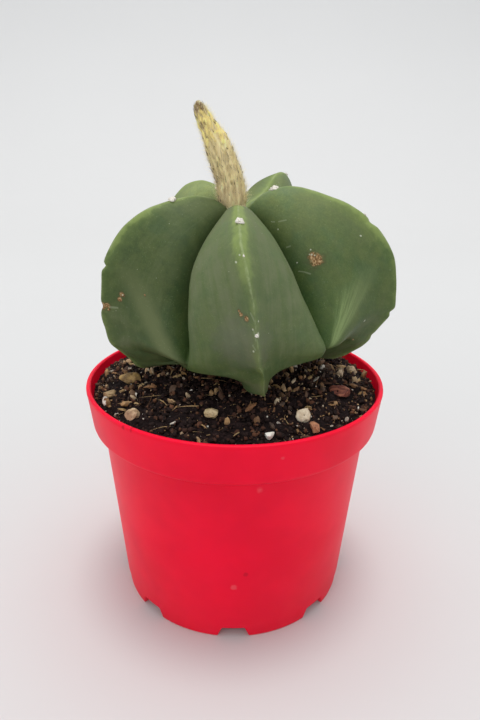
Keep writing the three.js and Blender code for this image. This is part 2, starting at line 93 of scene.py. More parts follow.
# From the crown (place 0) down over the flank and under to the neck (place 22).
# Each row: place, groove radius, groove height, ridge radius, ridge height,
# bulge of the flank out of the groove, its turn, pinch before the ridge, half width there,
# and how far down the flank each of those two points lies.
RIB_KEYS = [
    (0, 1.0, 118.6, 1.2, 118.8, 0.2, 0, 0.3, 0.3, 0.3, 0.8),
    (1, 2.4, 118.0, 4.4, 121.2, 1.2, 6, 1.6, 1.6, 0.5, 0.9),
    (2, 4.2, 115.8, 9.0, 124.8, 2.5, 8, 3.2, 3.2, 0.55, 0.9),
    (3, 6.0, 111.6, 14.5, 126.0, 5.0, 8, 5.5, 4.6, 0.6, 0.9),
    (5, 9.8, 104.0, 26.5, 123.6, 12.0, 8, 10.5, 6.2, 0.62, 0.9),
    (7, 13.4, 98.2, 37.6, 116.4, 17.0, 8, 13.0, 6.4, 0.58, 0.88),
    (9, 18.0, 93.0, 43.2, 105.6, 17.5, 10, 12.5, 4.8, 0.5, 0.85),
    (11, 24.6, 87.8, 43.8, 94.4, 13.5, 15, 11.5, 3.0, 0.5, 0.85),
    (13, 29.6, 82.8, 39.8, 85.2, 8.5, 27, 10.0, 2.6, 0.32, 0.6),
    (14, 29.6, 80.9, 36.4, 81.2, 6.5, 36, 8.0, 2.3, 0.1, 0.25),
    (15, 27.0, 79.7, 32.6, 77.8, 5.0, 40, 6.5, 2.2, 0.06, 0.15),
    (16, 22.5, 78.9, 27.8, 76.0, 4.5, 36, 5.5, 2.2, 0.06, 0.15),
    (18, 14.0, 77.2, 17.0, 76.2, 2.4, 50, 2.0, 2.8, 0.4, 0.7),
    (19, 11.3, 75.2, 11.5, 75.0, 2.3, 85, 0, 2.4, 0.4, 0.7),
    (20, 11.0, 72.0, 11.0, 72.0, 2.3, 90, 0, 2.3, 0.4, 0.7),
    (22, 11.0, 60.0, 11.0, 60.0, 2.3, 90, 0, 2.3, 0.4, 0.7),
]
LAST_PLACE = 22.0
TURN_PLACES = (0, 0.3, 0.42, 0.57, 0.61, 0.76)

# What a rib is like where RIBS says nothing else. Pairs are for its left and right flank.
PLAIN_RIB = dict(
    reach=1.0,                    # how far out its ridge stands
    turn=(0, 0, 0, 0, 0, 0),      # sideways turn of the ridge, in degrees, at TURN_PLACES
    humps=(), bulges=(),          # of the ridge, upwards and outwards: height, centre, spread
    fat=(1.0, 1.0),               # how far the flanks swell
    splay=(0, 0),                 # how far the flanks lean apart, in degrees
    corner=(0, 0),                # how far the groove after it moves out and up, low down
    folds=((13.2, 2.4, 9), (13.2, 2.4, 9)),  # place at the groove, climb to the ridge, its end
    soft=(0.9, 0.9),              # how gently a fold rounds over
    tuck=(0.75, 0.75),            # how far a flank tucks in to the keel below its fold
    toe=(0, 0),                   # sag beside the keel's end
)
# Each rib also has the azimuths of its ridge and of the groove after it, how much painted light
# and painted shade its green gets, its dry streaks, and the nicks in its ridge: height, depth, half
# height.
RIBS = [PLAIN_RIB | values for values in (
    dict(azimuth=6.5, groove=45.5, tone=1.2, streaks=(0, 0), reach=0.985,
         turn=(-6, -5, -1, 2, 5, 14.5), fat=(1.6, 1.12), splay=(9, 4), corner=(3.6, 3.9),
         humps=((-3.4, 0.16, 0.22), (-6.8, 0.67, 0.075), (3.0, 0.77, 0.055)),
         folds=((13.3, 0.0, 9), (13.7, 0.3, 9)), tuck=(0.96, 0.96), toe=(1.8, 0),
         nicks=((105.4, 0.35, 0.9), (97.6, 0.3, 0.8))),
    dict(azimuth=81.0, groove=117.0, tone=1.6, streaks=(1, 0.6), reach=1.055,
         humps=((0.6, 0.13, 0.1), (0.2, 0.25, 0.3), (-1.6, 0.62, 0.11)),
         bulges=((1.0, 0.52, 0.2), (-1.5, 0.57, 0.06)), folds=((13.2, 3.2, 9), (13.2, 3.2, 9)),
         nicks=((117.6, 0.9, 0.9), (92.0, 0.8, 0.9), (84.6, 0.4, 0.8))),
    dict(azimuth=153.0, groove=188.5, tone=2.0, streaks=(0.7, 0.6), reach=1.02,
         humps=((9, 0.34, 0.2), (3, 0.5, 0.2), (-4, 0.12, 0.12)),
         nicks=((112.0, 0.6, 0.9), (98.0, 0.6, 0.9))),
    dict(azimuth=225.0, groove=260.8, tone=4.6, streaks=(0.6, 0.8), reach=0.93, fat=(0.9, 0.75),
         humps=((0.9, 0.17, 0.12), (-3.5, 0.33, 0.13)),
         nicks=((115.0, 0.6, 0.9), (101.0, 0.6, 0.9), (90.0, 0.5, 0.8))),
    dict(azimuth=297.5, groove=333.0, tone=0.5, streaks=(0.5, 0), reach=0.94,
         humps=((-1.1, 0.14, 0.16), (-0.9, 0.25, 0.3)), splay=(0, -6), corner=(-1.5, -1.0),
         bulges=((0.6, 0.58, 0.16), (2.1, 0.605, 0.07), (3.7, 0.70, 0.10)),
         folds=((13.2, 2.4, 9), (13.1, 4.2, 0.25)), soft=(0.9, 0.5),
         nicks=((107.2, 0.9, 0.7), (96.3, 0.5, 1.0))),
)]
RIDGE_ROUNDING = 0.42
KEEL = 3.0
KEEL_ROUNDING = 2.8
KEEL_END = 76.0
# Parts of a rib as shares of the way from crown to neck: centre and reach.
BELLY = (0.38, 0.36)
SPLAY = (0.42, 0.4)
CORNER = (0.56, 0.3)
TOE = (0.665, 0.07)

# A woolly cushion's length, breadth and thickness over its width, and the cushions on the
# ridges: rib, place on it, width and amount of wool.
CUSHION_SHAPE = (2.1, 1.7, 1.35)
CUSHIONS = [
    (0, 5.15, 1.2, 1.0), (0, 7.3, 0.3, 0.1), (0, 10.6, 0.5, 0.5), (1, 2.2, 1.45, 1.0),
    (1, 6.3, 0.4, 0.2), (2, 6.4, 0.7, 0.4), (3, 1.9, 0.9, 0.6),
    (3, 6.2, 0.8, 0.4), (4, 4.1, 1.1, 1.0),
]

# The skin's own millimetres: across a flank, along a rib, and from one flank to the next.
SKIN_SCALE = (36.0, 140.0, 90.0)
# Corky scars: flank, share of the way down, place between groove and ridge, half size.
# Flanks are numbered from the front rib's left one, two for each rib.
SCARS = [
    (2, 0.318, 0.388, 1.9), (2, 0.305, 0.374, 1.3), (9, 0.446, 0.817, 0.75), (9, 0.458, 0.833, 0.7),
    (9, 0.425, 0.600, 0.35), (9, 0.482, 0.985, 1.1), (9, 0.479, 0.945, 0.75), (9, 0.487, 0.925, 0.5),
    (0, 0.442, 0.860, 0.55), (0, 0.449, 0.905, 0.65), (0, 0.434, 0.850, 0.35), (3, 0.318, 0.997, 0.5),
    (2, 0.600, 0.700, 0.55), (4, 0.36, 0.55, 1.4), (5, 0.47, 0.75, 0.9),
    (6, 0.33, 0.4, 1.2), (7, 0.42, 0.7, 0.7), (3, 0.44, 0.5, 1.0), (8, 0.40, 0.6, 1.1),
]
# Rubbed and dirty spots on the plastic: centre, half size, strength, whether pale.
POT_MARKS = [
    ((6.8, -40.5, 54.2), 0.9, 0.6, True), ((0.1, -37.6, 20.3), 0.8, 0.6, True),
    ((11.9, -42.4, 65.7), 0.5, 0.6, True), ((3.7, -37.9, 25.2), 0.6, 0.35, False),
    ((-28.3, -34.2, 69.4), 0.7, 0.6, False), ((-26.1, -35.8, 69.5), 0.7, 0.6, False),
    ((-33.0, 24.0, 40.0), 1.0, 0.5, True), ((30.0, 25.0, 30.0), 1.2, 0.5, True),
]
# White flecks: flank, share, place across, half size.
FLECKS = [
    (1, 0.482, 0.965, 0.75), (0, 0.329, 0.962, 0.31), (0, 0.344, 0.915, 0.34),
    (2, 0.193, 0.317, 0.27), (2, 0.291, 0.250, 0.24), (2, 0.327, 0.833, 0.27),
    (2, 0.527, 0.650, 0.37), (2, 0.300, 0.380, 0.31), (2, 0.306, 0.396, 0.27),
    (2, 0.296, 0.366, 0.20), (2, 0.290, 0.400, 0.24), (9, 0.446, 0.812, 0.24),
    (0, 0.52, 0.93, 0.34), (1, 0.455, 0.94, 0.27), (0, 0.47, 0.955, 0.31),
]
# Dry scratches: flank, then share and place across of their two ends, and half width.
SCRATCHES = [
    (2, (0.169, 0.333), (0.174, 0.350), 0.30), (2, (0.184, 0.383), (0.198, 0.450), 0.26),
    (2, (0.243, 0.262), (0.248, 0.288), 0.26), (2, (0.312, 0.222), (0.322, 0.250), 0.22),
    (2, (0.322, 0.250), (0.337, 0.283), 0.24), (9, (0.482, 0.917), (0.480, 0.850), 0.36),
    (0, (0.438, 0.955), (0.452, 0.985), 0.30),
    (0, (0.470, 0.965), (0.492, 0.975), 0.30), (0, (0.505, 0.93), (0.515, 0.955), 0.28),
    (5, (0.30, 0.45), (0.33, 0.52), 0.3), (7, (0.38, 0.5), (0.40, 0.56), 0.3),
]

# The withered flower: its centre line, x and z from the crown up, and its radius by share.
FLOWER_LINE = [
    (-0.6, 117.7), (-0.8, 119.6), (-1.2, 122.4), (-2.1, 127.8), (-4.1, 133.2),
    (-6.1, 138.4), (-8.5, 142.6), (-10.2, 146.0), (-10.9, 148.3),
]
FLOWER_RADII = [
    (0.0, 2.9), (0.06, 3.6), (0.16, 3.95), (0.42, 3.75), (0.6, 3.6), (0.66, 3.3), (0.72, 2.8),
    (0.84, 2.15), (0.92, 1.75), (0.97, 1.25), (1.0, 0.6),
]

FLOWER_BOTTOM, FLOWER_TOP = 117.3, 145.9
# Above this height the crown keeps this far from the flower.
ROOM_BOTTOM = 117.4
ROOM = 0.35
GOLDEN_ANGLE = 2.39996
PETALS = 26
FRAYED_SCALES = 34
WISPS = 260
BARK_CHIPS = 150

# The stones with nodes of their own: x, y, width across, turn, seed, slot, three tones from
# light to dark, scale of the pits and how dark they are.
STONES = {
    "stone_pumice_round": (
        18.1, -29.6, 4.2, (0, 0, 20), 11, "pale_stone",
        (0.74, 0.64, 0.48), (0.58, 0.46, 0.31), (0.36, 0.26, 0.17), 1.3, 0.8),
    "chip_perlite_white": (
        9.0, -37.6, 2.6, (10, 15, 30), 12, "perlite",
        (0.90, 0.87, 0.80), (0.80, 0.75, 0.66), (0.58, 0.50, 0.40), 1.6, 0.3),
    "chip_brick_orange": (
        20.9, -32.4, 4.6, (0, 25, -40), 13, "orange_stone",
        (0.62, 0.33, 0.18), (0.46, 0.20, 0.10), (0.22, 0.09, 0.05), 1.4, 0.4),
    "chip_bark_red": (
        30.4, -14.6, 7.2, (0, -8, -38), 14, "bark",
        (0.36, 0.13, 0.07), (0.17, 0.045, 0.028), (0.06, 0.018, 0.012), 1.0, 0.6),
    "stone_pink": (
        -27.5, -26.4, 4.4, (0, 0, 40), 15, "tan_stone",
        (0.66, 0.48, 0.30), (0.46, 0.29, 0.165), (0.22, 0.125, 0.07), 1.2, 0.5),
    "stone_tan_left": (
        -36.2, -13.4, 4.4, (0, 0, 10), 16, "tan_stone",
        (0.50, 0.35, 0.18), (0.33, 0.21, 0.10), (0.14, 0.085, 0.045), 1.2, 0.4),
    "stone_tan_long": (
        -31.4, -8.0, 7.4, (0, -14, 32), 17, "tan_stone",
        (0.44, 0.28, 0.10), (0.25, 0.15, 0.055), (0.10, 0.06, 0.028), 1.0, 0.3),
    "stone_grey_front": (
        -5.9, -31.0, 3.8, (0, 0, 15), 18, "tan_stone",
        (0.62, 0.49, 0.29), (0.42, 0.30, 0.15), (0.19, 0.125, 0.07), 1.4, 0.5),
    "stone_tan_right": (
        37.0, 5.5, 4.0, (0, 0, 70), 19, "tan_stone",
        (0.60, 0.47, 0.30), (0.42, 0.29, 0.17), (0.18, 0.11, 0.07), 1.2, 0.4),
}


# ---------------------------------------------------------------- numbers

def smooth_keys(keys, place):
    """Values between rows of keys on a smooth curve that never overshoots."""
    keys = np.asarray(keys, float)
    at, values = keys[:, 0], keys[:, 1:]
    step = np.diff(at)[:, None]
    rise = np.diff(values, axis=0) / step
    before, after = 2 * step[1:] + step[:-1], step[1:] + 2 * step[:-1]
    slope = np.zeros_like(values)
    with np.errstate(divide="ignore", invalid="ignore"):
        mean = (before + after) / (before / rise[:-1] + after / rise[1:])
    slope[1:-1] = np.where(rise[:-1] * rise[1:] > 0, mean, 0)
    slope[0], slope[-1] = rise[0], rise[-1]
    place = np.clip(np.atleast_1d(np.asarray(place, float)), at[0], at[-1])
    k = np.clip(np.searchsorted(at, place, side="right") - 1, 0, len(step) - 1)
    h = step[k]
    u = (place - at[k])[:, None] / h
    return ((1 + 2 * u) * (1 - u) ** 2 * values[k] + u * (1 - u) ** 2 * h * slope[k]
            + u * u * (3 - 2 * u) * values[k + 1] + u * u * (u - 1) * h * slope[k + 1])


def hump(place, centre, reach):
    """A smooth hump of height 1 around a centre, 0 beyond its reach."""
    return (1 - np.clip(np.abs(place - centre) / reach, 0, 1) ** 2) ** 2


def ease(value):
    """0 up to 0, 1 from 1 on, and smooth between."""
    value = np.clip(value, 0, 1)
    return value * value * (3 - 2 * value)


def unit(vectors):
    return vectors / np.maximum(np.linalg.norm(vectors, axis=-1, keepdims=True), 1e-12)


def around(azimuth, radius, height):
    """A point at an azimuth in degrees, 0 at the front and growing towards +X."""
    turn = np.radians(azimuth)
    return np.stack(np.broadcast_arrays(radius * np.sin(turn), -radius * np.cos(turn), height), -1)


def mix_height(x, y):
    """Height of the potting mix: a dome with gentle lumps."""
    radius = np.hypot(x, y)
    lumps = (np.sin(0.62 * x + 1.3) * np.cos(0.55 * y) + 0.7 * np.sin(0.93 * x - 0.81 * y)
             + 0.5 * np.cos(1.31 * y + 0.47 * x))
    fade = np.clip((MIX_DOME_RADIUS - radius) / 4, 0.3, 1)
    return MIX_RIM_HEIGHT + MIX_DOME * (1 - (radius / MIX_DOME_RADIUS) ** 3) + 0.32 * lumps * fade


def flank_curve(rib, groove, half, hand, places, across):
    """A flank without its fold and nicks, as x, y and z, and how steep it is at its ridge."""
    share = places / LAST_PLACE
    gr, gz, rr, rz, bulge, turn, pinch, width, fall1, fall2 = smooth_keys(RIB_KEYS, places).T
    gr = gr + groove["corner"][0] * hump(share, *CORNER)
    gz = gz + groove["corner"][1] * hump(share, *CORNER)
    more = (rib["fat"][hand] - 1) * hump(share, *BELLY)
    swell = bulge * (1 + more)
    broad = 1 + 0.5 * more
    reach = (rib["reach"] - 1) * np.clip(share / 0.15, 0, 1) * np.clip((0.86 - share) / 0.12, 0, 1)
    rr = rr * (1 + reach)
    rr = rr + sum(size * hump(share, centre, spread) for size, centre, spread in rib["bulges"])
    rz = rz + sum(size * hump(share, centre, spread) for size, centre, spread in rib["humps"])
    drop = rz - gz
    lean = half - np.radians(turn - rib["splay"][hand] * hump(share, *SPLAY))
    start = np.stack([gr * math.cos(half), gr * math.sin(half), gz], -1)
    points = (
        start,
        start + np.stack([swell * np.cos(lean), swell * np.sin(lean), fall1 * drop], -1),
        np.stack([rr - pinch, width * broad, gz + fall2 * drop], -1),
        np.stack([rr, 0 * rr, rz], -1),
    )
    s = across[None, :, None]
    weights = ((1 - s) ** 3, 3 * (1 - s) ** 2 * s, 3 * (1 - s) * s * s, s ** 3)
    x, y, z = np.moveaxis(sum(w * p[:, None, :] for w, p in zip(weights, points)), -1, 0)
    return x, y, z, pinch / np.maximum(width * broad, 0.5)


def folded(rib, hand, places, across, y, z):
    """Tucks the flank in towards the keel below its fold, and lets the keel end."""
    start, climb, until = rib["folds"][hand]
    place = places[:, None]
    risen = climb * until * np.tanh(across / until)
    below = (place - start + risen) / (0.7 + rib["soft"][hand] * risen)
    tuck = rib["tuck"][hand] * ease(below) * ease((17.5 - place) / 2.5) * ease(across / 0.16)
    y = y * (1 - tuck) + tuck * KEEL * np.tanh(y / KEEL)
    toe = rib["toe"][hand] * hump(places / LAST_PLACE, *TOE)
    z = z - toe[:, None] * hump(across, 0.72, 0.26)
    lowest = KEEL_END - 17 * ease((place - 16.5) / 1.5)
    return y, (z + lowest + np.hypot(z - lowest, 0.3)) / 2


def ridged(rib, share, across, steep, x, y, z):
    """Rounds the ridge, most of all on the keel, where it keeps its reach, and nicks it."""
    steep = steep * np.maximum(hump(share, 0.36, 0.42), hump(share, 0.66, 0.14))[:, None]
    rounding = (RIDGE_ROUNDING + KEEL_ROUNDING * hump(share, 0.66, 0.12))[:, None]
    x = x - steep * (np.hypot(y, rounding) - np.abs(y)) + 0.8 * steep * rounding * across ** 3
    for height, depth, spread in rib["nicks"]:
        outer = np.clip((x - 20) / 8, 0, 1)
        near = np.exp(-((z - height) / spread) ** 2 - (y / 1.6) ** 2)
        x = x - depth * near * outer
    return x


def skin_points(number, side, places, across):
    """Points of one flank: rows follow the rib from crown to neck, columns run groove to ridge."""
    rib = RIBS[number]
    hand = 0 if side < 0 else 1
    groove = RIBS[number - 1] if side < 0 else rib
    groove_azimuth = groove["groove"] - (360 if side < 0 and number == 0 else 0)
    half = math.radians(abs(groove_azimuth - rib["azimuth"]))
    share = places / LAST_PLACE
    x, y, z, steep = flank_curve(rib, groove, half, hand, places, across)
    y, z = folded(rib, hand, places, across, y, z)
    x = ridged(rib, share, across, steep[:, None], x, y, z)
    sway = np.interp(share, TURN_PLACES, rib["turn"])[:, None] * across[None, :]
    azimuth = rib["azimuth"] + sway + side * np.degrees(np.arctan2(y, x))
    return around(azimuth, np.hypot(x, y), z) + np.array([0, CACTUS_Y, 0])


def ridge_point(number, place):
    return skin_points(number, 1, np.array([float(place)]), np.array([1.0]))[0, 0]


class FlowerLine:
    """The leaning centre line of the withered flower, with a frame across it."""

    def __init__(self):
        xz = np.array(FLOWER_LINE)
        knots = np.concatenate([[0], np.cumsum(np.linalg.norm(np.diff(xz, axis=0), axis=1))])
        self.keys = np.column_stack([knots / knots[-1], xz])
        self.length = knots[-1]

    def at(self, share):
        share = np.atleast_1d(np.asarray(share, float))
        xz = smooth_keys(self.keys, share)
        point = np.stack([xz[:, 0], np.full(len(xz), CACTUS_Y), xz[:, 1]], -1)
        return point + self.along(share) * (np.maximum(share - 1, 0) * self.length)[:, None]

    def along(self, share):
        share = np.clip(np.atleast_1d(np.asarray(share, float)), 0, 1)
        step = smooth_keys(self.keys, share + 0.01) - smooth_keys(self.keys, share - 0.01)
        return unit(np.stack([step[:, 0], 0 * share, step[:, 1]], -1))

    def across(self, share, angle):
        forward = self.along(share)
        back = np.array([0.0, 1.0, 0.0])
        right = unit(np.cross(forward, back))
        angle = np.atleast_1d(angle)[:, None]
        return right * np.cos(angle) + back * np.sin(angle)

    def radius(self, share):
        return smooth_keys(FLOWER_RADII, share)[:, 0]

    def surface(self, share, angle, extra=0.0):
        share = np.atleast_1d(share)
        return self.at(share) + self.across(share, angle) * (self.radius(share) + extra)[:, None]

    def upward(self, share, angle, length):
        """The way up along the tube's surface, over a length in millimetres."""
        higher = np.atleast_1d(share) + length / self.length
        return unit(self.surface(higher, angle) - self.surface(share, angle))


FLOWER = FlowerLine()


# ---------------------------------------------------------------- meshes

def deselect():
    if bpy.context.object and bpy.context.object.mode != "OBJECT":
        bpy.ops.object.mode_set(mode="OBJECT")
    bpy.ops.object.select_all(action="DESELECT")


def active(piece):
    deselect()
    piece.select_set(True)
    bpy.context.view_layer.objects.active = piece
    return piece


@contextmanager
def editing():
    """Edit mode with everything selected."""
    bpy.ops.object.mode_set(mode="EDIT")
    bpy.ops.mesh.select_all(action="SELECT")
    yield
    bpy.ops.object.mode_set(mode="OBJECT")


def added(name):
    """The primitive just added, under its own name."""
    piece = bpy.context.object
    piece.name = name
    piece.data.name = name
    return piece


def coordinates(piece):
    spots = np.empty(len(piece.data.vertices) * 3)
    piece.data.vertices.foreach_get("co", spots)
    return spots.reshape(-1, 3)


def set_coordinates(piece, spots):
    piece.data.vertices.foreach_set("co", np.ascontiguousarray(spots, dtype=float).ravel())
    piece.data.update()


def lifted(piece):
    """The points and triangles of a piece, which is then taken away."""
    spots = coordinates(piece)
    faces = np.array([face.vertices[:] for face in piece.data.polygons])
    bpy.data.objects.remove(piece, do_unlink=True)
    return spots, faces


def attribute(piece, name, values):
    layer = piece.data.attributes.new(name, "FLOAT", "POINT")
    layer.data.foreach_set("value", np.ascontiguousarray(values, dtype=float))


def apply_modifier(piece, kind, **settings):
    active(piece)
    modifier = piece.modifiers.new(kind.title(), kind)
    for key, value in settings.items():
        setattr(modifier, key, value)
    bpy.ops.object.modifier_apply(modifier=modifier.name)


def close_up(piece):
    """Welds what lies together, fills open rings and turns every face outwards."""
    active(piece)
    with editing():
        bpy.ops.mesh.remove_doubles(threshold=WELD)
        bpy.ops.mesh.fill_holes(sides=0)
        bpy.ops.mesh.normals_make_consistent(inside=False)


def wrapped_grid(name, columns, rows, points, **layers):
    """A grid primitive rolled into a closed skin; points has a row for each row of the grid."""
    deselect()
    bpy.ops.mesh.primitive_grid_add(x_subdivisions=columns, y_subdivisions=rows - 1, size=2)
    piece = added(name)
    flat = coordinates(piece)
    i = np.rint((flat[:, 0] + 1) / 2 * columns).astype(int) % columns
    j = np.rint((flat[:, 1] + 1) / 2 * (rows - 1)).astype(int)
    set_coordinates(piece, points[j, i] * MM)
    for layer, values in layers.items():
        attribute(piece, layer, values[j, i])
    close_up(piece)
    return piece


def joined(name, spots, faces, **layers):
    """One piece from the points, triangles and layers of many small ones."""
    starts = np.cumsum([0] + [len(part) for part in spots[:-1]])
    faces = np.concatenate([part + start for part, start in zip(faces, starts)])
    layers = {key: np.concatenate(layer) for key, layer in layers.items()}
    return mesh_piece(name, np.concatenate(spots), faces, **layers)


def merged_copies(name, templates, picks, poses, sizes, **layers):
    """Many copies of a few small forms in one piece; poses are 3 by 3 turns and places."""
    forms = [templates[pick] for pick in picks]
    spots = [(form * size) @ np.asarray(turn).T + place
             for (form, _), (turn, place), size in zip(forms, poses, sizes)]
    layers = {key: [np.full(len(form), value) for (form, _), value in zip(forms, layer)]
              for key, layer in layers.items()}
    return joined(name, spots, [faces for _, faces in forms], **layers)


def strewn(name, rng, templates, places, turns, sizes, tint):
    """Grains that lie at places, each a random one of a few forms in a tint of its own."""
    picks = [rng.randrange(len(templates)) for _ in places]
    return merged_copies(name, templates, picks, list(zip(turns, places)), sizes,
                         tint=[tint() for _ in places])


def mesh_piece(name, spots, faces, **layers):
    """An object from points in millimetres and faces that share one count of corners."""
    mesh = bpy.data.meshes.new(name)
    mesh.vertices.add(len(spots))
    mesh.vertices.foreach_set("co", np.ascontiguousarray(spots * MM, dtype=float).ravel())
    corners = faces.shape[1]
    mesh.loops.add(faces.size)
    mesh.loops.foreach_set("vertex_index", faces.ravel().astype(np.int32))
    mesh.polygons.add(len(faces))
    mesh.polygons.foreach_set("loop_start", np.arange(0, faces.size, corners, dtype=np.int32))
    mesh.update(calc_edges=True)
    mesh.validate()
    piece = bpy.data.objects.new(name, mesh)
    bpy.context.scene.collection.objects.link(piece)
    for key, values in layers.items():
        attribute(piece, key, values)
    return piece


def smooth(piece, angle=None):
    active(piece)
    if angle is None:
        bpy.ops.object.shade_smooth()
    else:
        bpy.ops.object.shade_smooth_by_angle(angle=math.radians(angle))


def finish(piece, material, node=None):
    """Gives a piece its material and its place in the record, and hides the imported part of the node
    that it stands for.
    """
    piece.data.materials.clear()
    piece.data.materials.append(material)
    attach(piece, BODY)
    if node:
        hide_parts(node)
    deselect()
    return piece


def pebble_form(seed, detail, rough, flat=0.0, facets=4):
    """Points and triangles of one rough grain of unit size, made from an ico sphere."""
    deselect()
    bpy.ops.mesh.primitive_ico_sphere_add(subdivisions=detail, radius=0.5)
    piece = added(f"grain_form_{seed}")
    spots = coordinates(piece)
    offset = Vector((seed * 3.7, seed * 1.9, seed * 0.7))
    out = unit(spots)
    push = [noise.noise(Vector(s) * 1.5 + offset) * 1.4 + 0.3 * noise.noise(Vector(s) * 5.5 + offset)
            for s in out]
    spots = spots + out * (np.array(push) * rough)[:, None]
    chops = np.random.default_rng(seed)
    for _ in range(facets):
        cut = unit(chops.normal(size=3))
        limit = 0.27 + 0.14 * chops.random()
        over = np.maximum(spots @ cut - limit, 0)
        spots = spots - 0.9 * over[:, None] * cut
    spots[:, 2] *= 1 - flat
    set_coordinates(piece, spots)
    return spots, lifted(piece)[1]


def random_turn(rng, tilt=math.pi):
    lean = Euler((rng.uniform(-tilt, tilt), rng.uniform(-tilt, tilt), rng.uniform(0, 2 * math.pi)))
    return np.array(lean.to_matrix())


def strands(name, roots, ways, lengths, thickness, curls, steps=3, **layers):
    """Fine tapering threads with three sides; curls bend each one away from its way."""
    count = len(roots)
    along = np.linspace(0, 1, steps + 1)
    line = (roots[:, None, :] + ways[:, None, :] * (lengths[:, None] * along)[..., None]
            + curls[:, None, :] * (lengths[:, None] * along ** 2)[..., None])
    ahead = unit(np.gradient(line, axis=1))
    side = unit(np.cross(ahead, np.array([0.31, 0.22, 0.93])))
    up = np.cross(ahead, side)
    radius = (thickness[:, None] * (1 - 0.82 * along))[..., None]
    rings = []
    for turn in (0, 2 * math.pi / 3, 4 * math.pi / 3):
        rings.append(line + radius * (side * math.cos(turn) + up * math.sin(turn)))
    spots = np.stack(rings, 2).reshape(count, -1, 3)
    quads = []
    for k in range(steps):
        for a in range(3):
            b = (a + 1) % 3
            quads.append((3 * k + a, 3 * k + b, 3 * k + 3 + b, 3 * k + 3 + a))
    tris = [(q[0], q[1], q[2]) for q in quads] + [(q[0], q[2], q[3]) for q in quads]
    tris += [(0, 2, 1), (3 * steps, 3 * steps + 1, 3 * steps + 2)]
    faces = np.array(tris)[None] + (np.arange(count) * 3 * (steps + 1))[:, None, None]
    height = np.tile(np.repeat(along, 3), (count, 1))
    values = {key: np.repeat(layer, 3 * (steps + 1)) for key, layer in layers.items()}
    return mesh_piece(name, spots.reshape(-1, 3), faces.reshape(-1, 3),
                      height=height.ravel(), **values)


# ---------------------------------------------------------------- materials

class Wire:
    """A value on its way through a material; arithmetic on it adds Math nodes."""

    def __init__(self, recipe, socket):
        self.recipe = recipe
        self.socket = socket

    def _math(self, operation, *values, clamp=False):
        return self.recipe.add("ShaderNodeMath", dict(operation=operation, use_clamp=clamp),
                               dict(enumerate(values)))

    def __add__(self, other):
        return self._math("ADD", self, other)

    __radd__ = __add__

    def __mul__(self, other):
        return self._math("MULTIPLY", self, other)

    __rmul__ = __mul__

    def __sub__(self, other):
        return self._math("SUBTRACT", self, other)

    def __rsub__(self, other):
        return self._math("SUBTRACT", other, self)

    def __truediv__(self, other):
        return self._math("DIVIDE", self, other)

    def __rtruediv__(self, other):
        return self._math("DIVIDE", other, self)

    def most(self, other):
        return self._math("MAXIMUM", self, other)

    def clamped(self):
        return self._math("ADD", self, 0.0, clamp=True)

    def between(self, low, high, start=0.0, end=1.0):
        """A soft step from start, at low and below, to end, at high and above."""
        return self.recipe.add("ShaderNodeMapRange", dict(interpolation_type="SMOOTHSTEP"),
                               {0: self, 1: low, 2: high, 3: start, 4: end})


def highest(wires):
    """The highest of several values."""
    return reduce(Wire.most, wires)


def toned(colour, factor, lift=0.0):
    """A colour made darker or lighter, up to white."""
    return tuple(min(1.0, factor * c + lift) for c in colour)


